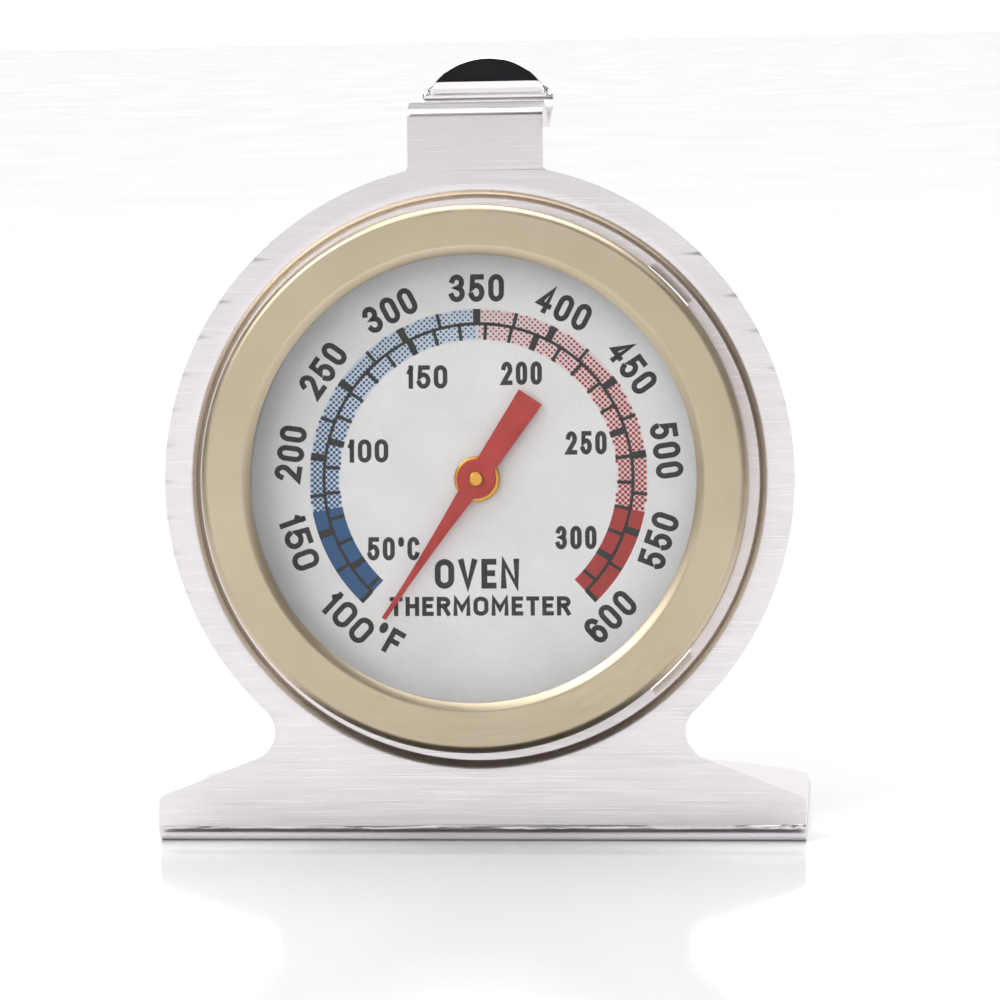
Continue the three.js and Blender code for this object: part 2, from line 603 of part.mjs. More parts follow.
/** Pointer: long tapering needle, round hub and a tail that widens to a square end. */
function pointer() {
  const side = (sign) => {
    const lean = new THREE.QuadraticBezierCurve(
      v2(POINTER_HUB, sign * POINTER_NECK),
      v2(POINTER_LENGTH * NEEDLE_WAIST, sign * WAIST_HALF_WIDTH),
      v2(POINTER_LENGTH - POINTER_TIP, sign * POINTER_TIP),
    );
    return lean.getPoints(6);
  };
  const needle = solid(extruded([
    v2(0, -POINTER_NECK),
    ...side(-1),
    v2(POINTER_LENGTH, 0),
    ...side(1).reverse(),
    v2(0, POINTER_NECK),
  ], POINTER_SHEET));
  const tail = solid(extruded([
    v2(0, -POINTER_NECK),
    v2(0, POINTER_NECK),
    v2(-POINTER_TAIL / 2, (POINTER_NECK + TAIL_HALF_WIDTH) / 2),
    v2(-POINTER_TAIL, TAIL_HALF_WIDTH),
    v2(-POINTER_TAIL, -TAIL_HALF_WIDTH),
    v2(-POINTER_TAIL / 2, -(POINTER_NECK + TAIL_HALF_WIDTH) / 2),
  ], POINTER_SHEET));
  const hub = solid(bar(POINTER_HUB, 0, POINTER_SHEET));
  const bore = solid(bar(BORE_RADIUS, -OVERCUT, POINTER_SHEET + OVERCUT));
  const shape = geometryOf(cutBy(joined(hub, needle, tail), bore));
  return shape.rotateZ(-Math.PI / 2 - REST_ANGLE).translate(0, 0, POINTER_BACK);
}

// ---------------------------------------------------------------- movement, round local z

const pointerBoss = () =>
  ring(BORE_RADIUS, BORE_RADIUS + BOSS_WALL, BOSS_FRONT - BOSS_HEIGHT, BOSS_FRONT, SMALL_ROUND);

const arbor = () => bar(ARBOR_RADIUS, ARBOR_BACK, ARBOR_FRONT);

/** Bridge: a hat-shaped strap that carries the front bearing over the coil. */
function bridge() {
  const top = BRIDGE_FRONT - BRIDGE_SHEET / 2;
  const foot = BRIDGE_FOOT_BACK + BRIDGE_SHEET / 2;
  const leg = BRIDGE_SPAN + BRIDGE_SHEET / 2;
  const half = [
    { at: v2(BRIDGE_END, foot) },
    { at: v2(leg, foot), radius: BRIDGE_SHEET },
    { at: v2(leg, top), radius: BRIDGE_SHEET },
  ];
  const other = half.map(({ at, radius }) => ({ at: v2(-at.x, at.y), radius })).reverse();
  const strip = extruded(stripOutline(roundedPath([...half, ...other], 4), BRIDGE_SHEET), BRIDGE_WIDTH);
  strip.rotateX(Math.PI / 2).translate(0, BRIDGE_WIDTH / 2, 0);
  const bush = bar(BEARING_RADIUS + RUN_GAP, BRIDGE_BACK - OVERCUT, BRIDGE_FRONT + OVERCUT);
  const hole = bar(RIVET_SHANK + RUN_GAP, FLOOR_INSIDE - OVERCUT, BRIDGE_FOOT_FRONT + OVERCUT, 12);
  return geometryOf(cutBy(
    solid(strip),
    solid(bush),
    solid(hole.clone().translate(RIVET_PLACE, 0, 0)),
    solid(hole.clone().translate(-RIVET_PLACE, 0, 0)),
  ));
}

/** Rivet through a bridge foot and the cup's floor, headed on both sides. */
function bridgeRivet(side) {
  const front = BRIDGE_FOOT_FRONT + SEAT_GAP;
  const back = FLOOR_OUTSIDE - SEAT_GAP;
  return steppedShaft([
    [HEAD_FLAT, back - HEAD_HEIGHT],
    [RIVET_HEAD, back - HEAD_HEIGHT / 2],
    [RIVET_HEAD, back],
    [RIVET_SHANK, back],
    [RIVET_SHANK, front],
    [RIVET_HEAD, front],
    [RIVET_HEAD, front + HEAD_HEIGHT / 2],
    [HEAD_FLAT, front + HEAD_HEIGHT],
  ]).translate(side * RIVET_PLACE, 0, 0);
}

const frontBearing = () => steppedShaft([
  [BEARING_FLANGE_RADIUS, FRONT_FLANGE_BACK],
  [BEARING_FLANGE_RADIUS, FRONT_FLANGE_BACK + FLANGE_HEIGHT],
  [BEARING_RADIUS, FRONT_FLANGE_BACK + FLANGE_HEIGHT],
  [BEARING_RADIUS, BRIDGE_FRONT + SEAT_GAP],
], BORE_RADIUS);

const rearBearing = () => steppedShaft([
  [BEARING_RADIUS, FLOOR_OUTSIDE - HEAD_HEIGHT],
  [BEARING_RADIUS, REAR_FLANGE_BACK],
  [BEARING_FLANGE_RADIUS, REAR_FLANGE_BACK],
  [BEARING_FLANGE_RADIUS, REAR_FLANGE_FRONT],
], BORE_RADIUS);

const washer = (front) =>
  ring(BORE_RADIUS, BORE_RADIUS + WASHER_WALL, front - WASHER_THICKNESS, front, SMALL_ROUND);

const coilCollet = () => ring(BORE_RADIUS, COLLET_RADIUS, COLLET_BACK, COLLET_FRONT, SMALL_ROUND);

/** Bimetal coil: a flat spiral from the collet out to the stud, which it ends in. */
function bimetalCoil() {
  const turns = (COIL_RADIUS - COIL_START) / COIL_PITCH;
  const steps = Math.ceil(turns * SMALL_ROUND);
  const inStud = (2 * STUD_RADIUS) / STUD_PLACE;
  const end = Math.PI / 2 + inStud / 2;
  const points = Array.from({ length: steps + 1 }, (_, i) => {
    const share = i / steps;
    const left = 2 * Math.PI * turns * (1 - share);
    const jog = COIL_JOG * THREE.MathUtils.smoothstep(-left, -JOG_ANGLE, -CLEAR_OF_STUD * inStud);
    const radius = COIL_START + (COIL_RADIUS - COIL_START) * share + jog;
    return v2(radius * Math.cos(end - left), radius * Math.sin(end - left));
  });
  return extruded(stripOutline(points, COIL_STRIP), COIL_WIDTH).translate(0, 0, COLLET_BACK);
}

/** Stud: riveted in the cup's floor, slotted at its head for the coil's end and its pin. */
function coilStud() {
  const back = FLOOR_OUTSIDE - SEAT_GAP;
  const body = steppedShaft([
    [HEAD_FLAT, back - HEAD_HEIGHT],
    [STUD_TAIL, back],
    [RIVET_SHANK, back],
    [RIVET_SHANK, FLOOR_INSIDE + SEAT_GAP],
    [STUD_RADIUS, FLOOR_INSIDE + SEAT_GAP],
    [STUD_RADIUS, COLLET_FRONT + SEAT_GAP],
  ]);
  const half = COIL_STRIP / 2 + 2 * RUN_GAP;
  const slot = block([-STUD_RADIUS - OVERCUT, -half, COLLET_BACK - SEAT_GAP],
    [STUD_RADIUS + OVERCUT, half + 2 * PIN_RADIUS, COLLET_FRONT + OVERCUT]);
  return geometryOf(solid(body).subtract(solid(slot))).translate(0, STUD_PLACE, 0);
}

/** Pin that holds the coil's end in the stud's slot. */
function coilPin() {
  const place = STUD_PLACE + COIL_STRIP / 2 + RUN_GAP + PIN_RADIUS;
  return bar(PIN_RADIUS, COLLET_BACK, COLLET_FRONT, 12).translate(0, place, 0);
}

// ---------------------------------------------------------------- scene

/** One named piece of the object. */
function piece(name, geometry, material) {
  const mesh = new THREE.Mesh(geometry, material);
  mesh.name = name;
  return mesh;
}

const thermometer = new THREE.Group();
thermometer.position.y = FOLD_LINE_Y;
thermometer.add(piece("stand", stand(), BRUSHED_STEEL));

const face = new THREE.Group();
face.rotation.x = Math.PI / 2 - LEAN;
thermometer.add(face);

const head = new THREE.Group();
head.position.y = DISC_HEIGHT;
face.add(head);

head.add(
  piece("bezel_ring", bezelRing(), CHAMPAGNE),
  piece("lens", lens(), GLASS),
  piece("lens_spacer", lensSpacer(), ALUMINIUM),
  piece("dial", dial(), ALUMINIUM),
  piece("case_cup", caseCup(), BRUSHED_STEEL),
  piece("bridge", bridge(), STEEL),
  piece("bridge_rivet_left", bridgeRivet(-1), STEEL),
  piece("bridge_rivet_right", bridgeRivet(1), STEEL),
  piece("front_bearing", frontBearing(), BRASS),
  piece("rear_bearing", rearBearing(), BRASS),
  piece("bimetal_coil", bimetalCoil(), BIMETAL),
  piece("coil_stud", coilStud(), BRASS),
  piece("coil_pin", coilPin(), BRASS),
);

const turning = new THREE.Group();
head.add(turning);
turning.add(
  piece("pointer", pointer(), RED_PAINT),
  piece("pointer_boss", pointerBoss(), BRASS),
  piece("arbor", arbor(), BRASS),
  piece("coil_collet", coilCollet(), BRASS),
  piece("front_washer", washer(FRONT_WASHER), STEEL),
  piece("rear_washer", washer(REAR_WASHER), STEEL),
);

export default thermometer;
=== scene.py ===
# Oven thermometer: a folded sheet-steel stand with a drawn seat and a rack hook, a spun bezel
# ring, flat glass, a printed aluminium dial, and a bimetal movement in a vented cup behind it.
# Sizes are millimetres and turned to metres by MM. Places on the head are given in the dial's
# own frame: x to the right, up the dial and out of it, from the arbor where it meets the sheet.
import json
import math

import bmesh
import bpy
import numpy as np
from mathutils import Matrix, Vector


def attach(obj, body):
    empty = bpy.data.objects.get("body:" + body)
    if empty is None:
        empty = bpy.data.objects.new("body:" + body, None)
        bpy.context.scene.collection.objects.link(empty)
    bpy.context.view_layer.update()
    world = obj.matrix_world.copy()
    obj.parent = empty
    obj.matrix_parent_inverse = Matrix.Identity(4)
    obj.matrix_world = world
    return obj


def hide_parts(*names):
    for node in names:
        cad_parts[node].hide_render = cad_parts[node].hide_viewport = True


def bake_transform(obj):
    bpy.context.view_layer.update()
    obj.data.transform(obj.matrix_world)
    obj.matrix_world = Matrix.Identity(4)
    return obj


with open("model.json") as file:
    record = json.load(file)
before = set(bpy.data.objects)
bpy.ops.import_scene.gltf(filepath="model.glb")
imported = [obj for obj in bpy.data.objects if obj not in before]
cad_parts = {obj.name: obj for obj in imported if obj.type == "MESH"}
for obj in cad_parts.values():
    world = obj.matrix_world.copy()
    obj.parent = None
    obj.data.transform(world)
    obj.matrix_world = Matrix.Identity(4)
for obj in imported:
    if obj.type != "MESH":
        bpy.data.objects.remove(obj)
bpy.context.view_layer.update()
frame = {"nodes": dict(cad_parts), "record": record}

MM = 0.001

# ---------------------------------------------------------------- the dial's frame

JOINT = frame["record"]["behaviour"]["joints"][0]
ARBOR_PLACE = np.array(JOINT["pos_m"])
OUT = -np.array(JOINT["axis"], float)
UP = np.array([0.0, OUT[2], -OUT[1]])
RIGHT = np.array([1.0, 0.0, 0.0])
LEAN = math.asin(OUT[2])


def on_head(x, up, out):
    """World places of points given right, up and out of the dial, in millimetres."""
    x, up, out = np.broadcast_arrays(x, up, out)
    return ARBOR_PLACE + MM * (x[..., None] * RIGHT + up[..., None] * UP + out[..., None] * OUT)


# ---------------------------------------------------------------- sizes, millimetres

FINE_ROUND = 360
# clearances between parts that touch and parts that turn
SEAT_GAP = 0.2
RUN_GAP = 0.15

# stand: foot, fold, shoulders and tab
SHEET = 0.6
BASE_WIDTH = 61
FOOT_DEPTH = 38
FOOT_REAR_RADIUS = 49.6
FOOT_CORNER = 4
FOLD_RADIUS = 1.1
SHOULDER_HEIGHT = 4.35
SHOULDER_SLOPE = math.radians(21)
SHOULDER_CORNER = 0.9
NECK_FILLET = 2.7
TAB_WIDTH = 12.76
TAB_LENGTH = 4.7
TAB_FILLET = 0.5

# hook: corners of its side profile, right of and above the tab's bend, and its rounded tongue
HOOK = {"bend": 0.6, "curve": 1.2, "crest": (2.2, 0.8), "valley": (6.8, -1.6), "foot": (12.4, 0.2)}
HOOK_LAP = 2
TONGUE_BEND = 2.6
TONGUE_RISE = 4.61
TONGUE_LEAN = 1.0
TONGUE_CURVE = 3.0
TONGUE_SPARE = 1.6
TONGUE_TAPER = 0.22
TONGUE_FLATNESS = 0.75

# bezel ring and its clinched tabs
RING_RADIUS = 25.46
RING_SHEET = 0.45
BEZEL_WIDTH = 4.61
LIP_WIDTH = 0.75
LIP_DROP = 0.3
LIP_ROOM = 0.5
SHOULDER_RADIUS = 0.55
CLINCH_WIDTH = 5
CLINCH_END_GAP = 0.16

# disc and the seat drawn in it
DISC_RIM = 3.15
DISC_FOOT = 4.5
SEAT_MARGIN = 1.09
SEAT_DEPTH = 0.9
SEAT_BEND = 0.45

# cup, its vents in the floor and slots in the wall
CUP_SHEET = 0.4
CUP_FLANGE = 1.71
CUP_STEP = 1.7
CUP_BEND = 0.4
CUP_CORNER = 1.4
CUP_FLOOR = -7.6
VENT_COUNT = 8
VENT_RADIUS = 1.7
VENT_CIRCLE = 15
SLOT_WIDTH = 3
SLOT_LENGTH = 3.2

# dial, pointer, print, glass and spacer
DIAL_FRONT = -1
DIAL_SHEET = 0.4
DIAL_HOLE = 1.6
INK = 0.02
POINTER_BACK = 0.3
POINTER_SHEET = 0.4
POINTER_INSET = 6.75
POINTER_TAIL = 9.2
POINTER_HUB = 1.84
REST_ANGLE = math.radians(34.05)
GLASS_SHEET = 2
GLASS_CHAMFER = 0.25
GLASS_ABOVE_ARBOR = 0.82
SPACER_WIDTH = 1
SPACER_FLANGE = (-0.1, 0.5)

# arbor, boss, bearing, rivets, stud and coil
ARBOR_RADIUS = 0.7
ARBOR_FRONT = 1.1
BOSS_WALL = 1.3
BOSS_BACK = -0.7
BOSS_FRONT = 0.1
BEARING_SHANK = 1.5
BEARING_FLANGE = 2.3
BEARING_FLANGE_SHEET = 0.5
SHANK = 0.7
RIVET_PLACE = 15.5
RIVET_HEAD = 1.5
RIVET_DOME = 0.5
STUD_PLACE = 11.4
STUD_RADIUS = 1.4
STUD_FRONT = -3.8
STUD_CHAMFER = 0.1
COIL_STRIP = 0.35
COIL_WIDTH = 2.5
COIL_BACK = -6.5
COIL_PITCH = 1.2
COIL_FIRST = 2.575
COIL_JOG = 1.2

# worked out from these
SEAT_RADIUS = RING_RADIUS + SEAT_MARGIN
DISC_RADIUS = SEAT_RADIUS + DISC_RIM
DISC_HEIGHT = DISC_RADIUS + DISC_FOOT
TAB_HEIGHT = DISC_HEIGHT + DISC_RADIUS + TAB_LENGTH
HALF_BASE = BASE_WIDTH / 2
HALF_TAB = TAB_WIDTH / 2
MIDDLE = -SHEET / 2
FOLD_Y = -FOOT_DEPTH / 2 * MM
FLANGE_RADIUS = RING_RADIUS - RING_SHEET - SEAT_GAP
CUP_RADIUS = FLANGE_RADIUS - CUP_FLANGE
HOLE_RADIUS = CUP_RADIUS + 2 * RUN_GAP
CLINCH_END = HOLE_RADIUS + CLINCH_END_GAP
SEAT_LIMIT = SEAT_RADIUS + SHEET + 2 * SEAT_BEND
FLOOR_MIDDLE = CUP_FLOOR - CUP_SHEET / 2
DIAL_RADIUS = CUP_RADIUS - CUP_SHEET - SEAT_GAP
POINTER_LENGTH = DIAL_RADIUS - POINTER_INSET
GLASS_BACK = ARBOR_FRONT + GLASS_ABOVE_ARBOR
GLASS_FRONT = GLASS_BACK + GLASS_SHEET
RING_FRONT = GLASS_FRONT + RING_SHEET + LIP_ROOM
SPACER_BACK = DIAL_FRONT + SEAT_GAP
SPACER_FRONT = GLASS_BACK - SEAT_GAP
COIL_FRONT = COIL_BACK + COIL_WIDTH
COIL_LAST = STUD_PLACE - COIL_JOG

# ---------------------------------------------------------------- mesh making


def new_object(name, points, faces):
    """A mesh object from an array of places, in metres, and lists of corner numbers."""
    mesh = bpy.data.meshes.new(name)
    mesh.from_pydata(np.asarray(points).reshape(-1, 3).tolist(), [], [list(f) for f in faces])
    made = bpy.data.objects.new(name, mesh)
    bpy.context.scene.collection.objects.link(made)
    return made


def grid_faces(rows, columns, wrap_rows=False, wrap_columns=False, keep=None):
    """Quads between neighbouring points of a grid; keep is true for each quad that stays."""
    number = np.arange(rows * columns).reshape(rows, columns)
    if wrap_rows:
        number = np.vstack([number, number[:1]])
    if wrap_columns:
        number = np.hstack([number, number[:, :1]])
    quads = np.stack([number[:-1, :-1], number[:-1, 1:], number[1:, 1:], number[1:, :-1]], -1)
    return quads[keep] if keep is not None else quads.reshape(-1, 4)


def finished(made, closed=True, smooth=True):
    """Merges doubled points, turns the faces outwards and shades them smooth."""
    work = bmesh.new()
    work.from_mesh(made.data)
    bmesh.ops.remove_doubles(work, verts=work.verts, dist=MM / 1000)
    bmesh.ops.recalc_face_normals(work, faces=work.faces)
    if closed and work.calc_volume(signed=True) < 0:
        bmesh.ops.reverse_faces(work, faces=work.faces)
    for face in work.faces:
        face.smooth = smooth
    work.to_mesh(made.data)
    work.free()
    return made


def modifier(made, kind, **settings):
    """Adds a modifier with its settings."""
    added = made.modifiers.new(kind.title(), kind)
    for name, value in settings.items():
        setattr(added, name, value)
    return made


def softened(made, width, segments=2, angle=35):
    """Rounds the sharp edges a little and keeps the flat faces' shading flat."""
    modifier(made, "BEVEL", width=width * MM, segments=segments, limit_method="ANGLE",
             angle_limit=math.radians(angle), use_clamp_overlap=True, loop_slide=False)
    return modifier(made, "WEIGHTED_NORMAL", keep_sharp=False, weight=100, mode="FACE_AREA")


def thickened(made, sheet):
    """Gives a middle surface the sheet's thickness, half to each side."""
    return modifier(made, "SOLIDIFY", thickness=sheet * MM, offset=0, use_even_offset=False,
                    use_quality_normals=True)


def rounded(corners, steps=8):
    """Points of a line through (a, b, radius) corners, each corner replaced by its arc."""
    points = [np.array(corners[0][:2], float)]
    for before, corner, after in zip(corners, corners[1:], corners[2:]):
        at, radius = np.array(corner[:2], float), corner[2]
        back = np.array(before[:2]) - at
        on = np.array(after[:2]) - at
        back, on = back / np.linalg.norm(back), on / np.linalg.norm(on)
        half = math.acos(np.clip(back @ on, -1, 1)) / 2
        middle = at + (back + on) / np.linalg.norm(back + on) * radius / math.sin(half)
        first = at + back * radius / math.tan(half) - middle
        side = 1 if back[0] * on[1] - back[1] * on[0] > 0 else -1
        turn = -side * (math.pi - 2 * half) * np.linspace(0, 1, steps + 1)
        cos, sin = np.cos(turn), np.sin(turn)
        bend = np.stack([first[0] * cos - first[1] * sin, first[0] * sin + first[1] * cos], -1)
        points.extend(bend + middle)
    points.append(np.array(corners[-1][:2], float))
    return np.array(points)


def arc_points(centre, radius, start, end, steps):
    """Points on an arc, from one angle to the other."""
    angle = np.linspace(start, end, steps + 1)
    return np.stack([centre[0] + radius * np.cos(angle), centre[1] + radius * np.sin(angle)], -1)


def turned(name, profile, facets=FINE_ROUND, open_ended=False):
    """A profile of (radius, out) points carried round the arbor's axis. It closes on itself,
    or is open where it starts and ends on the axis."""
    profile = np.array(profile, float)
    angle = np.linspace(0, 2 * np.pi, facets, endpoint=False)
    radius, out = profile[:, :1], profile[:, 1:]
    points = on_head(radius * np.cos(angle), radius * np.sin(angle), out)
    faces = grid_faces(len(profile), facets, wrap_rows=not open_ended, wrap_columns=True)
    return finished(new_object(name, points, faces))


def filled(loops, place):
    """A flat sheet inside the first loop and outside the others, as points and triangles."""
    curve = bpy.data.curves.new("fill", "CURVE")
    curve.dimensions = "2D"
    curve.fill_mode = "BOTH"
    for loop in loops:
        spline = curve.splines.new("POLY")
        spline.points.add(len(loop) - 1)
        flat = np.zeros((len(loop), 4))
        flat[:, :2] = loop
        spline.points.foreach_set("co", flat.ravel())
        spline.use_cyclic_u = True
    holder = bpy.data.objects.new("fill", curve)
    bpy.context.scene.collection.objects.link(holder)
    mesh = bpy.data.meshes.new_from_object(holder)
    places = np.zeros(len(mesh.vertices) * 3)
    mesh.vertices.foreach_get("co", places)
    places = places.reshape(-1, 3)
    faces = [list(polygon.vertices) for polygon in mesh.polygons]
    bpy.data.objects.remove(holder)
    bpy.data.curves.remove(curve)
    bpy.data.meshes.remove(mesh)
    return place(places[:, 0], places[:, 1]), faces


def sewn(name, patches):
    """One open sheet from several patches whose edges share their points."""
    points, faces, count = [], [], 0
    for places, corners in patches:
        places = np.asarray(places).reshape(-1, 3)
        points.append(places)
        faces.extend([[int(c) + count for c in corner] for corner in corners])
        count += len(places)
    return new_object(name, np.vstack(points), faces)


# ---------------------------------------------------------------- materials


def linear(colour):
    """Linear colour of an sRGB hex value."""
    parts = [int(colour[i:i + 2], 16) / 255 for i in (1, 3, 5)]
    return [p / 12.92 if p <= 0.04045 else ((p + 0.055) / 1.055) ** 2.4 for p in parts] + [1.0]


def add(material, kind, inputs=(), **settings):
    """Adds a node, sets its properties, and sets or links its sockets."""
    made = material.node_tree.nodes.new(kind)
    for name, value in settings.items():
        setattr(made, name, value)
    for name, value in dict(inputs).items():
        if isinstance(value, bpy.types.NodeSocket):
            material.node_tree.links.new(value, made.inputs[name])
        else:
            made.inputs[name].default_value = value
    return made


def new_material(name):
    """An empty node material and its output's surface socket."""
    material = bpy.data.materials.new(name)
    material.use_nodes = True
    material.node_tree.nodes.clear()
    output = add(material, "ShaderNodeOutputMaterial")
    return material, output


def surface(material, output, **inputs):
    """The material's shader, with its sockets set or linked."""
    shader = add(material, "ShaderNodeBsdfPrincipled",
                 {name.replace("_", " "): value for name, value in inputs.items()})
    material.node_tree.links.new(shader.outputs["BSDF"], output.inputs["Surface"])
    return shader


def straight_grain(material, along, across):
    """Coordinates of a brushed grain that runs to the right: long in x, fine in the rest."""
    place = add(material, "ShaderNodeTexCoord").outputs["Object"]
    scale = (1 / (along * MM), 1 / (across * MM), 1 / (across * MM))
    return add(material, "ShaderNodeMapping", {"Vector": place, "Scale": scale}).outputs["Vector"]


def spun_grain(material, along, across):
    """Coordinates of a grain that runs round the arbor: the direction from the axis, drawn out
    to the grain's length, plus the distance from it and along it at the grain's width."""
    place = add(material, "ShaderNodeTexCoord").outputs["Object"]
    middle = add(material, "ShaderNodeVectorMath", {0: place, 1: tuple(ARBOR_PLACE)},
                 operation="SUBTRACT").outputs[0]
    turn = (-(math.pi / 2 - LEAN), 0, 0)
    flat = add(material, "ShaderNodeVectorRotate", {"Vector": middle, "Rotation": turn},
               rotation_type="EULER_XYZ").outputs[0]
    disc = add(material, "ShaderNodeVectorMath", {0: flat, 1: (1, 1, 0)},
               operation="MULTIPLY").outputs[0]
    reach = add(material, "ShaderNodeVectorMath", {0: disc}, operation="LENGTH").outputs["Value"]
    way = add(material, "ShaderNodeVectorMath", {0: disc}, operation="NORMALIZE").outputs[0]
    long_way = add(material, "ShaderNodeVectorMath", {0: way, "Scale": RING_RADIUS / along},
                   operation="SCALE").outputs[0]
    height = add(material, "ShaderNodeSeparateXYZ", {0: flat}).outputs["Z"]
    both = add(material, "ShaderNodeMath", {0: reach, 1: height}, operation="ADD").outputs[0]
    fine = add(material, "ShaderNodeMath", {0: both, 1: 1 / (across * MM)},
               operation="MULTIPLY").outputs[0]
    lift = add(material, "ShaderNodeCombineXYZ", {"Z": fine}).outputs[0]
    return add(material, "ShaderNodeVectorMath", {0: long_way, 1: lift},
               operation="ADD").outputs[0]


# the middle stretch of a noise's values, which a material spreads over its own range
MID_NOISE = {"From Min": 0.3, "From Max": 0.7}
# the same stretch of two noises added together
MID_SUM = {"From Min": 0.7, "From Max": 1.3}
# how far the scratches carry a brushed metal's roughness to each side
ROUGH_SPREAD = 0.07
POLISH_FADE = 0.6 * MM


def brushed(name, light, dark, rough, grain, width, depth, spun=False, polished_above=None):
    """Brushed metal: fine scratches along the grain, in roughness, relief and a little tone.
    Above a given height the grain is left off and the mill's mirror finish shows."""
    material, output = new_material(name)
    make = spun_grain if spun else straight_grain
    scratches = add(material, "ShaderNodeTexNoise",
                    {"Vector": make(material, grain, width), "Scale": 1, "Detail": 4,
                     "Roughness": 0.6}).outputs["Fac"]
    place = add(material, "ShaderNodeTexCoord").outputs["Object"]
    cloud = add(material, "ShaderNodeTexNoise",
                {"Vector": place, "Scale": 1 / (9 * MM), "Detail": 2, "Roughness": 0.55}
                ).outputs["Fac"]
    tone = add(material, "ShaderNodeMath", {0: scratches, 1: cloud}, operation="ADD").outputs[0]
    share = add(material, "ShaderNodeMapRange", {"Value": tone, **MID_SUM}).outputs["Result"]
    colour = add(material, "ShaderNodeMix", {"Factor": share, 6: linear(dark), 7: linear(light)},
                 data_type="RGBA").outputs[2]
    roughness = add(material, "ShaderNodeMapRange",
                    {"Value": scratches, **MID_NOISE, "To Min": rough - ROUGH_SPREAD,
                     "To Max": rough + ROUGH_SPREAD}).outputs["Result"]
    ground = 1.0
    if polished_above:
        height = add(material, "ShaderNodeSeparateXYZ", {0: place}).outputs["Z"]
        ground = add(material, "ShaderNodeMapRange",
                     {"Value": height, "From Min": polished_above,
                      "From Max": polished_above + POLISH_FADE, "To Min": 1, "To Max": 0.1}
                     ).outputs["Result"]
        roughness = add(material, "ShaderNodeMath", {0: roughness, 1: ground},
                        operation="MULTIPLY").outputs[0]
    relief = add(material, "ShaderNodeBump",
                 {"Height": scratches, "Strength": ground, "Distance": depth * MM}).outputs["Normal"]
    surface(material, output, Base_Color=colour, Metallic=1.0, Roughness=roughness, Normal=relief)
    return material


def brushed_stainless():
    """Cold-rolled stainless sheet, brushed across: a pale, slightly pink silver with a fine
    level grain that spreads reflections up and down."""
    return brushed("brushed_stainless", "#f1ecef", "#e9e4e6", 0.32, 9, 0.11, 0.0012,
                   polished_above=68.6 * MM)


def champagne_ring():
    """Heat-tinted steel ring, satin-ground on a lathe: warm straw colour, nearly matte."""
    return brushed("champagne_satin_steel", "#dacbb1", "#cfbfa3", 0.42, 3, 0.1, 0.002, spun=True)


def spun_aluminium():
    """Turned aluminium: neutral, with fine turning lines."""
    return brushed("turned_aluminium", "#d6d8da", "#bfc2c4", 0.33, 8, 0.1, 0.003, spun=True)


def dial_aluminium():
    """Aluminium sheet, finely blasted: an even light grey with a soft sparkle of grit."""
    material, output = new_material("blasted_aluminium")
    place = add(material, "ShaderNodeTexCoord").outputs["Object"]
    grit = add(material, "ShaderNodeTexNoise",
               {"Vector": place, "Scale": 1 / (0.16 * MM), "Detail": 2, "Roughness": 0.55}
               ).outputs["Fac"]
    cloud = add(material, "ShaderNodeTexNoise",
                {"Vector": place, "Scale": 1 / (6 * MM), "Detail": 2, "Roughness": 0.55}
                ).outputs["Fac"]
    tone = add(material, "ShaderNodeMath", {0: grit, 1: cloud}, operation="ADD").outputs[0]
    share = add(material, "ShaderNodeMapRange", {"Value": tone, **MID_SUM}).outputs["Result"]
    colour = add(material, "ShaderNodeMix",
                 {"Factor": share, 6: linear("#e9e8e7"), 7: linear("#f4f3f2")},
                 data_type="RGBA").outputs[2]
    relief = add(material, "ShaderNodeBump",
                 {"Height": grit, "Strength": 0.5, "Distance": 0.004 * MM}).outputs["Normal"]
    surface(material, output, Base_Color=colour, Metallic=0.6, Roughness=0.5, Normal=relief)
    return material


def cup_steel():
    """Deep-drawn plated steel: grey, with faint draw marks round the cup."""
    return brushed("drawn_plated_steel", "#c9c9cc", "#aeaeb2", 0.36, 9, 0.25, 0.004, spun=True)


def plain_steel():
    """Barrel-polished steel: mid grey and fairly bright, with an uneven bloom."""
    return brushed("polished_steel", "#c4c5c8", "#a5a6aa", 0.28, 2, 0.3, 0.003)


def turned_brass():
    """Turned brass: warm yellow, with fine tool lines round the axis."""
    return brushed("turned_brass", "#e9b45a", "#cf9740", 0.3, 6, 0.07, 0.003, spun=True)


def bimetal_strip():
    """Rolled bimetal strip: dull straw grey, drawn along its length."""
    return brushed("rolled_bimetal", "#bfae90", "#9c8f78", 0.38, 3, 0.2, 0.003)


def clear_glass():
    """Flat clear glass, bloomed so that it hardly reflects: the dial's colours stay deep."""
    material, output = new_material("clear_glass")
    place = add(material, "ShaderNodeTexCoord").outputs["Object"]
    haze = add(material, "ShaderNodeTexNoise",
               {"Vector": place, "Scale": 1 / (12 * MM), "Detail": 2, "Roughness": 0.55}
               ).outputs["Fac"]
    roughness = add(material, "ShaderNodeMapRange",
                    {"Value": haze, **MID_NOISE, "To Min": 0, "To Max": 0.02}).outputs["Result"]
    surface(material, output, Base_Color=linear("#ffffff"), Transmission_Weight=1.0, IOR=1.2,
            Roughness=roughness)
    return material


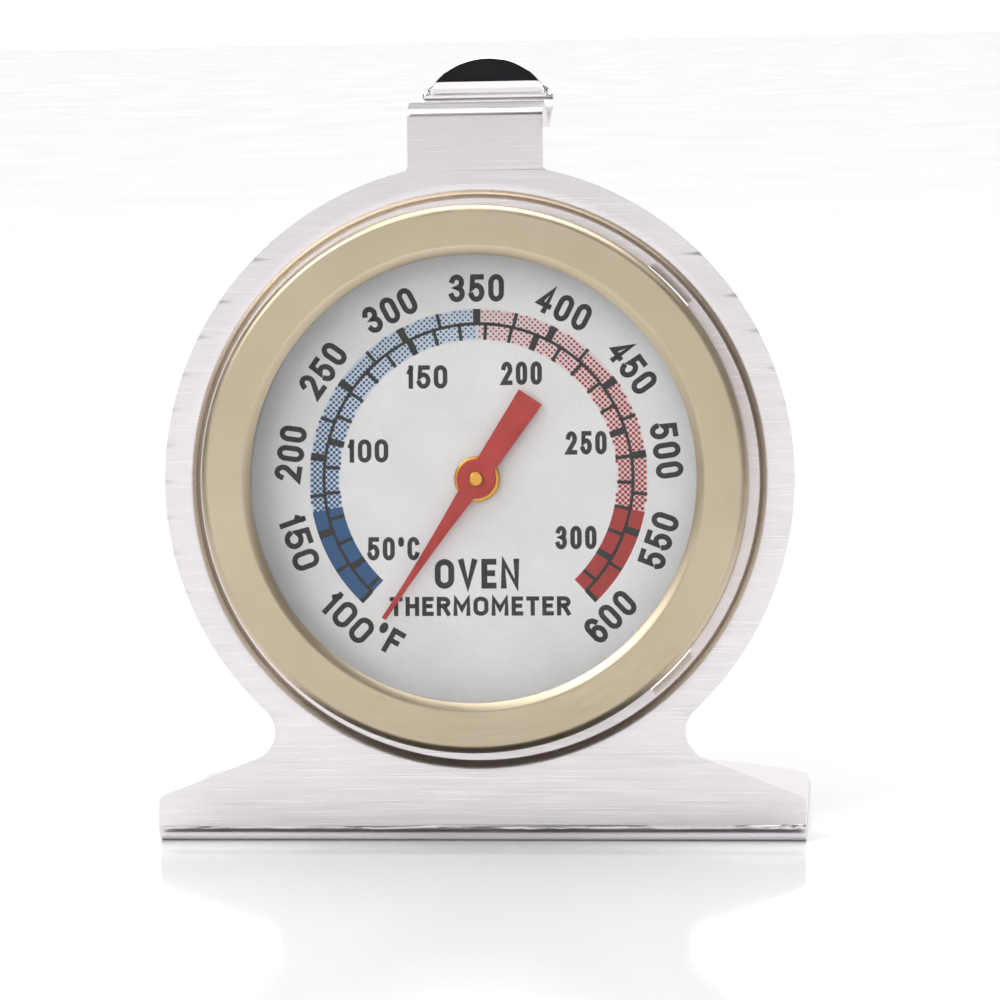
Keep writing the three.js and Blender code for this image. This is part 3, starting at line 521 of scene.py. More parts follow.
def red_enamel():
    """Baked red paint on the pointer: satin, with a slight orange peel and thin worn tone."""
    material, output = new_material("baked_red_paint")
    place = add(material, "ShaderNodeTexCoord").outputs["Object"]
    peel = add(material, "ShaderNodeTexNoise",
               {"Vector": place, "Scale": 1 / (0.35 * MM), "Detail": 2, "Roughness": 0.55}
               ).outputs["Fac"]
    cloud = add(material, "ShaderNodeTexNoise",
                {"Vector": place, "Scale": 1 / (2.5 * MM), "Detail": 2, "Roughness": 0.55}
                ).outputs["Fac"]
    share = add(material, "ShaderNodeMapRange", {"Value": cloud, **MID_NOISE}).outputs["Result"]
    colour = add(material, "ShaderNodeMix",
                 {"Factor": share, 6: linear("#b5322e"), 7: linear("#c8443e")},
                 data_type="RGBA").outputs[2]
    roughness = add(material, "ShaderNodeMapRange",
                    {"Value": peel, **MID_NOISE, "To Min": 0.36, "To Max": 0.5}
                    ).outputs["Result"]
    relief = add(material, "ShaderNodeBump",
                 {"Height": peel, "Strength": 0.4, "Distance": 0.01 * MM}).outputs["Normal"]
    surface(material, output, Base_Color=colour, Roughness=roughness, Normal=relief,
            Specular_IOR_Level=0.4)
    return material


def printed_ink(name, first, second):
    """Screen-printed ink: dense and satin, a little uneven where the mesh left it thin."""
    material, output = new_material(name)
    place = add(material, "ShaderNodeTexCoord").outputs["Object"]
    screen = add(material, "ShaderNodeTexNoise",
                 {"Vector": place, "Scale": 1 / (0.3 * MM), "Detail": 2, "Roughness": 0.55}
                 ).outputs["Fac"]
    share = add(material, "ShaderNodeMapRange", {"Value": screen, **MID_NOISE}).outputs["Result"]
    colour = add(material, "ShaderNodeMix", {"Factor": share, 6: linear(first), 7: linear(second)},
                 data_type="RGBA").outputs[2]
    roughness = add(material, "ShaderNodeMapRange",
                    {"Value": screen, **MID_NOISE, "To Min": 0.4, "To Max": 0.55}
                    ).outputs["Result"]
    surface(material, output, Base_Color=colour, Roughness=roughness, Specular_IOR_Level=0.4)
    return material


MATERIALS = {
    "stand_steel": brushed_stainless(),
    "ring_steel": champagne_ring(),
    "window_glass": clear_glass(),
    "spacer_aluminium": spun_aluminium(),
    "dial_face": dial_aluminium(),
    "cup_steel": cup_steel(),
    "bridge_steel": plain_steel(),
    "rivet_steel": plain_steel(),
    "brass": turned_brass(),
    "bimetal": bimetal_strip(),
    "pointer_red": red_enamel(),
}
INKS = {
    "black": printed_ink("black_ink", "#2b2a2a", "#3a3837"),
    "blue": printed_ink("blue_ink", "#2a5484", "#3a6796"),
    "red": printed_ink("red_ink", "#ab3330", "#bc4541"),
    "blue ground": printed_ink("pale_blue_ink", "#d3dfec", "#dfe8f1"),
    "red ground": printed_ink("pale_pink_ink", "#ecdcdb", "#f2e6e5"),
}


def placed(piece, body, slot, replaces=(), material=None):
    """Gives a finished piece the finish of its slot, puts it on its body and hides the nodes it stands
    for.
    """
    piece.data.materials.clear()
    piece.data.materials.append(material or MATERIALS[slot])
    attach(piece, body)
    if replaces:
        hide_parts(*replaces)
    return piece


# ---------------------------------------------------------------- stand


def face_outline():
    """Outline of the face, right half and its mirror: foot edge, shoulder, neck, disc, tab."""
    slope = np.array([-math.cos(SHOULDER_SLOPE), math.sin(SHOULDER_SLOPE)])
    above = np.array([slope[1], -slope[0]])
    corner = np.array([HALF_BASE, SHOULDER_HEIGHT])
    disc = np.array([0, DISC_HEIGHT])
    # the neck's fillet touches the shoulder line and the disc
    start = corner + above * NECK_FILLET - disc
    reach = DISC_RADIUS + NECK_FILLET
    half = start @ slope
    neck = start + slope * (-half - math.sqrt(half * half - start @ start + reach * reach)) + disc
    on_shoulder = neck - above * NECK_FILLET
    to_disc = disc - neck
    tab_x = HALF_TAB + TAB_FILLET
    tab_y = DISC_HEIGHT + math.sqrt((DISC_RADIUS + TAB_FILLET) ** 2 - tab_x ** 2)
    tab_angle = math.atan2(tab_y - DISC_HEIGHT, tab_x)
    down = math.atan2(-above[1], -above[0]) + 2 * math.pi
    to_disc_angle = math.atan2(to_disc[1], to_disc[0])
    edge = [rounded([(HALF_BASE, FOLD_TOP), (*corner, SHOULDER_CORNER), (*on_shoulder, 0)], 6),
            arc_points(neck, NECK_FILLET, down, to_disc_angle, 24)[1:],
            arc_points(disc, DISC_RADIUS, to_disc_angle - math.pi, tab_angle, 150)[1:],
            arc_points((tab_x, tab_y), TAB_FILLET, tab_angle - math.pi, -math.pi, 6)[1:]]
    return np.vstack(edge)


FOLD_TURN = math.pi / 2 + LEAN
FOLD_TOP = (FOLD_RADIUS + SHEET / 2) * math.tan(FOLD_TURN / 2)
FOLD_BACK = (SHEET / 2) * (1 + math.sin(LEAN)) / math.cos(LEAN) + FOLD_RADIUS * math.tan(FOLD_TURN / 2)


def in_side_view(x, back, up):
    """World places from the right, behind the fold line and up from the floor."""
    x, back, up = np.broadcast_arrays(x, back, up)
    return np.stack([x * MM, FOLD_Y + back * MM, up * MM], -1)


def up_the_face(x, rise, out=MIDDLE):
    """World places of points on the leaning sheet, measured up it from the fold line."""
    return on_head(x, np.asarray(rise) - DISC_HEIGHT, out)


def rear_edge(x):
    """How far behind the fold line the foot ends: a bowed edge with two rounded corners."""
    centre = FOOT_DEPTH - FOOT_REAR_RADIUS
    inner = FOOT_REAR_RADIUS - FOOT_CORNER
    corner_x = HALF_BASE - FOOT_CORNER
    corner = centre + math.sqrt(inner ** 2 - corner_x ** 2)
    turn = corner_x * FOOT_REAR_RADIUS / inner
    bow = centre + np.sqrt(FOOT_REAR_RADIUS ** 2 - np.minimum(np.abs(x), turn) ** 2)
    rest = np.clip(np.abs(x) - corner_x, 0, FOOT_CORNER)
    return np.where(np.abs(x) <= turn, bow, corner + np.sqrt(FOOT_CORNER ** 2 - rest ** 2))


def foot_and_fold(across):
    """The flat foot, from its bowed rear edge to the fold, and the fold's arc after it."""
    share = np.linspace(0, 1, 9)[:, None]
    foot = in_side_view(across, rear_edge(across) * (1 - share) + FOLD_BACK * share, SHEET / 2)
    turn = np.linspace(0, FOLD_TURN, 15)[:, None]
    fold = in_side_view(across, FOLD_BACK - FOLD_RADIUS * np.sin(turn),
                        SHEET / 2 + FOLD_RADIUS * (1 - np.cos(turn)))
    columns = len(across)
    return [(foot, grid_faces(9, columns)), (fold, grid_faces(15, columns))]


def flat_face(across, tab_across):
    """The flat of the face: its outline, which meets the fold and the hook point for point,
    with the drawn seat's outer circle left open."""
    right = face_outline()
    left = right[::-1] * (-1, 1)
    top = np.stack([tab_across[::-1], np.full(len(tab_across), TAB_HEIGHT - HOOK_LAP)], -1)
    bottom = np.stack([across[1:-1], np.full(len(across) - 2, FOLD_TOP)], -1)
    outline = np.vstack([right, top, left, bottom])
    seat_edge = arc_points((0, DISC_HEIGHT), SEAT_LIMIT, 0, 2 * np.pi, FINE_ROUND)[:-1]
    return filled([outline, seat_edge], up_the_face)


def drawn_seat():
    """The seat: its section turned round the arbor, with four slots left out for the ring's
    clinched tabs."""
    seat_angle = np.linspace(0, 2 * np.pi, FINE_ROUND, endpoint=False)
    wall, floor = SEAT_RADIUS + SHEET / 2, MIDDLE - SEAT_DEPTH
    drawn = rounded([(SEAT_LIMIT, MIDDLE), (wall, MIDDLE, SEAT_BEND), (wall, floor, SEAT_BEND),
                     (RING_RADIUS + RUN_GAP, floor)], 6)
    drawn = np.vstack([drawn[:1], drawn[:1] - (0.2, 0), drawn[1:],
                       [(RING_RADIUS - RING_SHEET - RUN_GAP, floor), (HOLE_RADIUS, floor)]])
    seat = on_head(drawn[:, :1] * np.cos(seat_angle), drawn[:, :1] * np.sin(seat_angle),
                   drawn[:, 1:])
    quarter = (np.degrees(seat_angle) % 90) + 0.5 * 360 / FINE_ROUND - 45
    slot_half = math.degrees((CLINCH_WIDTH / 2 + RUN_GAP) / RING_RADIUS)
    keep = np.ones((len(drawn) - 1, FINE_ROUND), bool)
    keep[-2, np.abs(quarter) < slot_half] = False
    return seat, grid_faces(len(drawn), FINE_ROUND, wrap_columns=True, keep=keep)


def hook_and_tongue(tab_across):
    """The hook: its side profile carried across the tab, and from the last bend up the tongue,
    which tapers a little and ends in an arc."""
    bend = np.array([TAB_HEIGHT * math.sin(LEAN) - MIDDLE * math.cos(LEAN),
                     TAB_HEIGHT * math.cos(LEAN) + MIDDLE * math.sin(LEAN)])
    below = bend - HOOK_LAP * np.array([math.sin(LEAN), math.cos(LEAN)])
    tongue_x = HOOK["foot"][0]
    profile = rounded([
        tuple(below),
        (*bend, HOOK["bend"]),
        *[(*(bend + HOOK[part]), HOOK["curve"]) for part in ("crest", "valley", "foot")],
        (*(bend + (tongue_x, TONGUE_BEND)), TONGUE_CURVE),
        tuple(bend + (tongue_x + TONGUE_SPARE * TONGUE_LEAN,
                      TONGUE_BEND + TONGUE_SPARE * (TONGUE_RISE - TONGUE_BEND))),
    ], 10)
    knee = bend[1] + HOOK["foot"][1] + 0.9
    rising = (profile[:, 0] > bend[0] + tongue_x - 0.5) & (profile[:, 1] > knee)
    lower, upper = profile[~rising], profile[rising]
    half = HALF_TAB - TONGUE_TAPER
    end_radius = half + TONGUE_FLATNESS
    peak = bend[1] + TONGUE_RISE
    end_height = peak - end_radius + np.sqrt(end_radius ** 2 - (tab_across * half / HALF_TAB) ** 2)
    rise = np.linspace(0, 1, 25)[:, None]
    first = lower[-1, 1]
    height = first + (end_height - first) * rise
    depth = np.interp(height, upper[:, 1], upper[:, 0], left=lower[-1, 0])
    tongue = in_side_view(tab_across * (1 - rise * (1 - half / HALF_TAB)), depth, height)
    hook = in_side_view(tab_across, lower[:, :1], lower[:, 1:])
    columns = len(tab_across)
    return [(hook, grid_faces(len(lower), columns)), (tongue, grid_faces(25, columns))]


def make_stand():
    """The stand's middle surface from patches that share their edges: foot, fold, flat face,
    drawn seat, hook and tongue. The sheet's thickness and its softened cut edges come after."""
    across = HALF_BASE * np.sin(np.linspace(-np.pi / 2, np.pi / 2, 97))
    tab_across = np.linspace(-HALF_TAB, HALF_TAB, 33)
    patches = foot_and_fold(across)
    patches += [flat_face(across, tab_across), drawn_seat()]
    patches += hook_and_tongue(tab_across)
    stand = sewn("stand_sheet", patches)
    finished(stand, closed=False)
    thickened(stand, SHEET)
    softened(stand, 0.07)
    return placed(stand, "case", "stand_steel", ["stand"])


# ---------------------------------------------------------------- head


def masked_turning(profile, masks, facets=FINE_ROUND):
    """A sheet's middle line carried round the arbor, without the quads the masks leave out."""
    angle = np.linspace(0, 2 * np.pi, facets, endpoint=False)
    points = on_head(profile[:, :1] * np.cos(angle), profile[:, :1] * np.sin(angle), profile[:, 1:])
    return points, grid_faces(len(profile), facets, wrap_columns=True, keep=masks)


def make_bezel_ring():
    """Spun ring: the middle line of its section, from the rolled lip over the flat front and
    down the skirt, carried round the arbor; four tabs run on and are bent in behind the seat."""
    middle, wall = RING_FRONT - RING_SHEET / 2, RING_RADIUS - RING_SHEET / 2
    window = RING_RADIUS - BEZEL_WIDTH
    skirt_end = -SEAT_DEPTH + SEAT_GAP
    clinch = -SEAT_DEPTH - SHEET - SEAT_GAP - RING_SHEET / 2
    body = rounded([(window, middle - LIP_DROP), (window + LIP_WIDTH, middle, SHOULDER_RADIUS),
                    (wall, middle, SHOULDER_RADIUS), (wall, skirt_end)], 8)
    tabs = rounded([(wall, skirt_end), (wall, clinch, RING_SHEET / 2 + 0.1), (CLINCH_END, clinch)], 6)
    profile = np.vstack([body, tabs[1:]])
    degrees = np.degrees(np.linspace(0, 2 * np.pi, FINE_ROUND, endpoint=False))
    from_tab = np.abs((degrees % 90) + 180 / FINE_ROUND - 45)
    half_tab = math.degrees(CLINCH_WIDTH / 2 / RING_RADIUS)
    keep = np.ones((len(profile) - 1, FINE_ROUND), bool)
    keep[len(body) - 1:, from_tab > half_tab] = False
    ring = sewn("bezel_ring_spun", [masked_turning(profile, keep)])
    finished(ring, closed=False)
    thickened(ring, RING_SHEET)
    softened(ring, 0.05)
    return placed(ring, "case", "ring_steel", ["bezel_ring"])


def make_glass():
    """Flat glass disc with a small ground chamfer on both edges."""
    back, front, chamfer = GLASS_BACK, GLASS_FRONT, GLASS_CHAMFER
    radius = FLANGE_RADIUS
    glass = turned("window_glass_disc", [
        (0, back), (radius - chamfer, back), (radius, back + chamfer),
        (radius, front - chamfer), (radius - chamfer, front), (0, front),
    ], open_ended=True)
    for polygon in glass.data.polygons:
        polygon.use_smooth = False
    return placed(glass, "case", "window_glass", ["lens"])


def make_spacer():
    """Turned spacer: a sleeve between dial and glass, with a flange at the cup's mouth."""
    inner, outer = DIAL_RADIUS - SPACER_WIDTH, DIAL_RADIUS
    flange_back, flange_front = SPACER_FLANGE
    flange = FLANGE_RADIUS
    spacer = turned("spacer_sleeve", [
        (inner, SPACER_BACK), (outer, SPACER_BACK), (outer, flange_back), (flange, flange_back),
        (flange, flange_front), (outer, flange_front), (outer, SPACER_FRONT), (inner, SPACER_FRONT),
    ])
    softened(spacer, 0.08)
    return placed(spacer, "case", "spacer_aluminium", ["lens_spacer"])


def make_dial():
    """Flat dial with a punched hole and softly sheared edges."""
    back = DIAL_FRONT - DIAL_SHEET
    dial = turned("dial_disc", [(DIAL_HOLE, back), (DIAL_RADIUS, back),
                                (DIAL_RADIUS, DIAL_FRONT), (DIAL_HOLE, DIAL_FRONT)])
    softened(dial, 0.05)
    return placed(dial, "case", "dial_face", ["dial"])


def make_cup():
    """Drawn cup: flange, wall and chamber turned round the arbor with eight side slots left
    out, and a flat floor with eight vents and the holes for its rivets, stud and bearing."""
    flange = -SEAT_DEPTH + SEAT_GAP + CUP_SHEET / 2
    wall, rear = CUP_RADIUS - CUP_SHEET / 2, CUP_RADIUS - CUP_STEP - CUP_SHEET / 2
    step = DIAL_FRONT - DIAL_SHEET - SEAT_GAP - CUP_SHEET / 2
    edge = rear - CUP_CORNER - 0.3
    slot_back = (step + CUP_SHEET / 2 + CUP_FLOOR) / 2 - SLOT_LENGTH / 2
    upper = rounded([(FLANGE_RADIUS, flange), (wall, flange, CUP_BEND),
                     (wall, step, CUP_BEND), (rear, step, CUP_BEND),
                     (rear, slot_back + SLOT_LENGTH)], 6)
    lower = rounded([(rear, slot_back), (rear, FLOOR_MIDDLE, CUP_CORNER), (edge, FLOOR_MIDDLE)], 8)
    profile = np.vstack([upper, lower])
    degrees = np.degrees(np.linspace(0, 2 * np.pi, FINE_ROUND, endpoint=False))
    pitch = 360 / VENT_COUNT
    from_slot = np.abs((degrees % pitch) + 180 / FINE_ROUND - pitch / 2)
    half_slot = math.degrees(SLOT_WIDTH / 2 / rear)
    keep = np.ones((len(profile) - 1, FINE_ROUND), bool)
    keep[len(upper) - 1, from_slot < half_slot] = False

    vent_angles = (np.arange(VENT_COUNT) + 0.5) * 2 * np.pi / VENT_COUNT
    hole = SHANK + RUN_GAP
    bearing_hole = BEARING_SHANK + RUN_GAP
    centres = [(VENT_CIRCLE * math.cos(a), VENT_CIRCLE * math.sin(a), VENT_RADIUS)
               for a in vent_angles]
    centres += [(RIVET_PLACE, 0, hole), (-RIVET_PLACE, 0, hole), (0, STUD_PLACE, hole),
                (0, 0, bearing_hole)]
    loops = [arc_points((0, 0), edge, 0, 2 * np.pi, FINE_ROUND)[:-1]]
    loops += [arc_points((x, y), radius, 0, 2 * np.pi, 48)[:-1] for x, y, radius in centres]
    floor = filled(loops, lambda x, up: on_head(x, up, FLOOR_MIDDLE))
    cup = sewn("vented_cup", [masked_turning(profile, keep), floor])
    finished(cup, closed=False)
    thickened(cup, CUP_SHEET)
    softened(cup, 0.05)
    return placed(cup, "case", "cup_steel", ["case_cup"])


# ---------------------------------------------------------------- pointer


def half_width(along):
    """Half the pointer's width at a place along it: a needle that thins in a long curve, the
    round hub, and a tail that widens evenly to a square end."""
    tip, neck, tail, waist = 0.18, 0.85, 1.3, 1.2
    share = np.clip((along - waist) / (POINTER_LENGTH - waist), 0, 1)
    needle = tip + (neck - tip) * (1 - share) ** 1.7
    tail_side = neck + (tail - neck) * np.clip(-along / POINTER_TAIL, 0, 1) ** 0.8
    blade = np.where(along > 0, needle, tail_side)
    hub = np.sqrt(np.maximum(POINTER_HUB ** 2 - along ** 2, 0))
    blend = 0.15
    return np.log(np.exp(blade / blend) + np.exp(hub / blend)) * blend


def make_pointer():
    """Stamped pointer: its half width is a function of the place along it; the flat blank is
    given its thickness and a softly rolled edge."""
    near = POINTER_HUB * np.sin(np.linspace(-np.pi / 2, np.pi / 2, 41))
    past_hub = 2.1
    along = np.concatenate([np.linspace(-POINTER_TAIL, -past_hub, 24), near,
                            np.linspace(past_hub, POINTER_LENGTH, 48)])
    across = np.linspace(-1, 1, 9)
    width = half_width(along)
    x, y = np.broadcast_arrays(along[:, None], width[:, None] * across)
    turn = -math.pi / 2 - REST_ANGLE
    points = on_head(x * math.cos(turn) - y * math.sin(turn),
                     x * math.sin(turn) + y * math.cos(turn), POINTER_BACK + POINTER_SHEET / 2)
    pointer = new_object("painted_pointer", points, grid_faces(*x.shape))
    finished(pointer, closed=False)
    thickened(pointer, POINTER_SHEET)
    softened(pointer, 0.09, segments=3)
    return placed(pointer, "pointer_shaft", "pointer_red", ["pointer"])


# ---------------------------------------------------------------- dial print


def printed(name, parts, ink):
    """One printed layer from closed parts, each a pair of points and faces."""
    layer = finished(sewn(name, parts), smooth=False)
    return placed(layer, "case", "dial_face", material=INKS[ink])


BAND_INNER, BAND_MIDDLE, BAND_OUTER = 13.1, 14.6, 16.0
FIRST_MARK, SOLID_BLUE_TO, MIDDLE_MARK, SOLID_RED_FROM, LAST_MARK = 100, 165, 350, 536, 600
MARK_TURN = math.radians(272.8) / (LAST_MARK - FIRST_MARK)


def dial_angle(fahrenheit):
    """Angle of a temperature, clockwise from straight up."""
    return (np.asarray(fahrenheit) - MIDDLE_MARK) * MARK_TURN


def sector(inner, outer, start, end, height, steps=1):
    """A flat piece of ring between two clockwise angles, as a closed slab."""
    angle = np.linspace(start, end, steps + 1)
    base = DIAL_FRONT - INK / 4
    corners = [(inner, base), (outer, base), (outer, DIAL_FRONT + height), (inner, DIAL_FRONT + height)]
    radius, out = np.array(corners).T[:, :, None]
    points = on_head(radius * np.sin(angle), radius * np.cos(angle), out)
    count = steps + 1
    sides = grid_faces(4, count, wrap_rows=True).tolist()
    ends = [[0, count, 2 * count, 3 * count],
            [steps, 3 * count + steps, 2 * count + steps, count + steps]]
    return points, sides + ends


def make_scale():
    """The scale: pale grounds, solid ends, dots that thin out towards the middle, marks."""
    for name, ink, start, end in (("scale_blue_ground", "blue ground", FIRST_MARK, MIDDLE_MARK),
                                  ("scale_red_ground", "red ground", MIDDLE_MARK, LAST_MARK)):
        printed(name, [sector(BAND_INNER, BAND_OUTER, *dial_angle([start, end]), INK / 4, 90)], ink)
    for name, ink, start, end in (("scale_blue_end", "blue", FIRST_MARK, SOLID_BLUE_TO),
                                  ("scale_red_end", "red", SOLID_RED_FROM, LAST_MARK)):
        printed(name, [sector(BAND_INNER, BAND_OUTER, *dial_angle([start, end]), INK / 2, 40)], ink)
    printed("scale_blue_dots", halftone(SOLID_BLUE_TO, MIDDLE_MARK, (0.175, 0.135, 0.105)), "blue")
    printed("scale_red_dots", halftone(SOLID_RED_FROM, MIDDLE_MARK, (0.175, 0.15, 0.095)), "red")

    whole = dial_angle([FIRST_MARK, LAST_MARK])
    bars = [sector(BAND_MIDDLE - 0.15, BAND_MIDDLE + 0.15, *whole, INK, 240)]
    for mark in range(FIRST_MARK, LAST_MARK + 1, 25):
        width = 0.7 if mark % 50 == 0 else 0.33
        bars.append(tick(mark, BAND_MIDDLE, BAND_OUTER, width))
    for celsius in range(40, 320, 10):
        width = 0.62 if celsius % 50 == 0 else 0.33
        bars.append(tick(celsius * 1.8 + 32, BAND_INNER, BAND_MIDDLE, width))
    printed("scale_marks", bars, "black")


def tick(fahrenheit, inner, outer, width):
    """A straight mark across half of the scale."""
    half = width / 2 / ((inner + outer) / 2)
    middle = float(dial_angle(fahrenheit))
    low, high = dial_angle([FIRST_MARK, LAST_MARK])
    start, end = max(middle - half, low - half / 4), min(middle + half, high + half / 4)
    return sector(inner, outer, start, end, INK)


def halftone(dense, light, radii):
    """Round dots on a diagonal lattice, largest at the dense end. Each dot is a low prism of
    eight sides, copied to every place in one array step."""
    pitch, margin, sides = 0.262, 0.08, 8
    most = math.ceil(BAND_OUTER / pitch)
    number = np.arange(-most, most + 1)
    column, row = np.meshgrid(number, number)
    chosen = (column + row) % 2 == 0
    x, up = column[chosen] * pitch, row[chosen] * pitch
    reach = np.hypot(x, up)
    mark = MIDDLE_MARK + np.arctan2(x, up) / MARK_TURN
    low, high = min(dense, light), max(dense, light)
    inside = (reach > BAND_INNER + margin) & (reach < BAND_OUTER - margin)
    inside &= (mark > low) & (mark < high)
    x, up, mark = x[inside], up[inside], mark[inside]
    share = (mark - dense) / (light - dense)
    radius = np.interp(share, (0, 0.5, 1), radii)
    corner = (np.arange(sides) + 0.5) * 2 * np.pi / sides
    ring_x = x[:, None] + radius[:, None] * np.cos(corner)
    ring_up = up[:, None] + radius[:, None] * np.sin(corner)
    levels = np.array([DIAL_FRONT - INK / 4, DIAL_FRONT + INK / 2])
    points = on_head(ring_x[:, None, :], ring_up[:, None, :], levels[None, :, None])
    first = np.arange(len(x))[:, None] * 2 * sides
    around = np.arange(sides)
    following = (around + 1) % sides
    walls = np.stack([first + around, first + following, first + following + sides,
                      first + around + sides], -1)
    faces = walls.reshape(-1, 4).tolist() + (first + around + sides).tolist()
    faces += (first + around[::-1]).tolist()
    return [(points, faces)]


def arc(x, y, wide, high, start, end):
    """Part of an ellipse in a letter's unit box, between two angles in degrees."""
    angle = np.radians(np.linspace(start, end, max(4, int(abs(end - start) / 9))))
    return [(x + wide * math.cos(a), y + high * math.sin(a)) for a in angle]


BOWL = [(0, 0.3), (0, 0.7), *arc(0.5, 0.72, 0.5, 0.28, 180, 0), *arc(0.5, 0.28, 0.5, 0.28, 0, -180)]
# each letter: its width as a share of a figure's, and the middle lines of its strokes
LETTERS = {
    "0": (1, [BOWL]),
    "1": (0.5, [[(0.8, 0), (0.8, 1)], [(0.1, 0.76), (0.8, 0.93)]]),
    "2": (1, [[*arc(0.5, 0.72, 0.48, 0.28, 165, -30), (0, 0), (1, 0)]]),
    "3": (1, [[*arc(0.48, 0.76, 0.46, 0.24, 160, -90), *arc(0.48, 0.26, 0.52, 0.26, 90, -160)]]),
    "4": (1, [[(0.74, 0), (0.74, 1), (0, 0.26), (1, 0.26)]]),
    "5": (1, [[(0.95, 1), (0.14, 1), (0.07, 0.52), *arc(0.48, 0.31, 0.52, 0.31, 128, -158)]]),
    "6": (1, [[*arc(0.5, 0.72, 0.5, 0.28, 20, 180), *arc(0.5, 0.3, 0.5, 0.3, 180, 540)]]),
    "C": (1, [[*arc(0.5, 0.7, 0.5, 0.3, 20, 180), *arc(0.5, 0.3, 0.5, 0.3, 180, 340)]]),
    "E": (0.85, [[(1, 1), (0, 1), (0, 0), (1, 0)], [(0, 0.52), (0.85, 0.52)]]),
    "F": (0.85, [[(0, 0), (0, 1), (1, 1)], [(0, 0.52), (0.8, 0.52)]]),
    "H": (1, [[(0, 0), (0, 1)], [(1, 0), (1, 1)], [(0, 0.52), (1, 0.52)]]),
    "M": (1.25, [[(0, 0), (0, 1), (0.5, 0.3), (1, 1), (1, 0)]]),
    "N": (1.05, [[(0, 0), (0, 1), (1, 0), (1, 1)]]),
    "O": (1.1, [BOWL]),
    "R": (1, [[(0, 0), (0, 1), *arc(0.55, 0.76, 0.45, 0.24, 90, -90), (0, 0.52)], [(0.5, 0.52), (1, 0)]]),
    "T": (0.95, [[(0, 1), (1, 1)], [(0.5, 1), (0.5, 0)]]),
    "V": (1.05, [[(0, 1), (0.5, 0), (1, 1)]]),
    "\u00b0": (0.5, [arc(0.5, 0.86, 0.42, 0.14, 0, 360)]),
}


def ribbon(line, stroke):
    """A stroke's left and right edges: its middle line moved half its width to each side,
    along the bisector at each corner. An open line is first drawn out by half its width."""
    line = np.array(line, float)
    line = line[np.append(True, np.hypot(*np.diff(line, axis=0).T) > stroke / 50)]
    loop = np.hypot(*(line[0] - line[-1])) < stroke / 5
    if loop:
        line = np.vstack([line[:-1], line[:1]])
    step = np.diff(line, axis=0)
    step /= np.hypot(*step.T)[:, None]
    if not loop:
        line[0] -= step[0] * stroke / 2
        line[-1] += step[-1] * stroke / 2
    first, last = (step[-1:], step[:1]) if loop else (step[:1], step[-1:])
    before, after = np.vstack([first, step]), np.vstack([step, last])
    way = before + after
    way /= np.maximum(np.hypot(*way.T), 1e-6)[:, None]
    side = np.stack([-way[:, 1], way[:, 0]], -1)
    reach = stroke / 2 / np.maximum(0.45, np.abs(side[:, 0] * -before[:, 1] + side[:, 1] * before[:, 0]))
    return line + side * reach[:, None], line - side * reach[:, None], loop


def word(text, height, width, x, up, turn=0.0, stroke=0.5):
    """Raised lettering of even strokes, set to a height and width about a place on the dial
    and turned anticlockwise. Each stroke is a low closed bar along its middle line."""
    gap = 0.72 * stroke
    shares = [LETTERS[letter][0] for letter in text]
    unit = (width - gap * (len(text) - 1)) / sum(shares)
    cos, sin = math.cos(turn), math.sin(turn)
    levels = np.array([DIAL_FRONT - INK / 4, DIAL_FRONT + INK])
    start, parts = -width / 2, []
    for letter, share in zip(text, shares):
        room = np.array([share * unit - stroke, height - stroke])
        for line in LETTERS[letter][1]:
            left, right, loop = ribbon(np.array(line) * room + stroke / 2, stroke)
            edges = np.stack([left, right]) + (start, -height / 2)
            flat_x = x + edges[..., 0] * cos - edges[..., 1] * sin
            flat_up = up + edges[..., 0] * sin + edges[..., 1] * cos
            low, high = (on_head(flat_x, flat_up, level) for level in levels)
            count = len(left)
            section = np.stack([low[0], low[1], high[1], high[0]])
            faces = grid_faces(4, count, wrap_rows=True).tolist()
            if not loop:
                faces.append([0, count, 2 * count, 3 * count])
                faces.append([4 * count - 1, 3 * count - 1, 2 * count - 1, count - 1])
            parts.append((section, faces))
        start += share * unit + gap
    return parts


# where the numbers' middles stand, and their height and width
NUMBER_RADIUS, UNIT_RADIUS, CELSIUS_RADIUS = 17.95, 17.3, 10.75
NUMBER_SIZE, UNIT_SIZE, CELSIUS_SIZE = (2.6, 5.2), (2.5, 2.6), (2.2, 3.85)
CELSIUS_STROKE = 0.43
# past this angle from the top a number is turned to be read from below
FLIP_ANGLE = 1.75


def make_lettering():
    """Numbers round the scale in Fahrenheit, upright ones inside in Celsius, and the two words
    that say what the instrument is."""
    outer = []
    for mark in range(FIRST_MARK, LAST_MARK + 1, 50):
        angle = float(dial_angle(mark))
        turn = -angle if abs(angle) < FLIP_ANGLE else math.pi - angle
        outer += word(str(mark), *NUMBER_SIZE, NUMBER_RADIUS * math.sin(angle),
                      NUMBER_RADIUS * math.cos(angle), turn)
    unit = math.radians(-150.2)
    outer += word("\u00b0F", *UNIT_SIZE, UNIT_RADIUS * math.sin(unit),
                  UNIT_RADIUS * math.cos(unit), math.pi - unit)
    printed("fahrenheit_numbers", outer, "black")

    inner = word("50\u00b0C", 2.2, 4.95, -8.05, -6.5, stroke=CELSIUS_STROKE)
    for celsius in range(100, 301, 50):
        angle = float(dial_angle(celsius * 1.8 + 32))
        inner += word(str(celsius), *CELSIUS_SIZE, CELSIUS_RADIUS * math.sin(angle),
                      CELSIUS_RADIUS * math.cos(angle), stroke=CELSIUS_STROKE)
    printed("celsius_numbers", inner, "black")
    printed("dial_words", word("OVEN", 2.8, 8.0, -0.15, -8.9, stroke=0.56)
            + word("THERMOMETER", 1.8, 17.1, 0.1, -11.95, stroke=0.4), "black")


# ---------------------------------------------------------------- movement


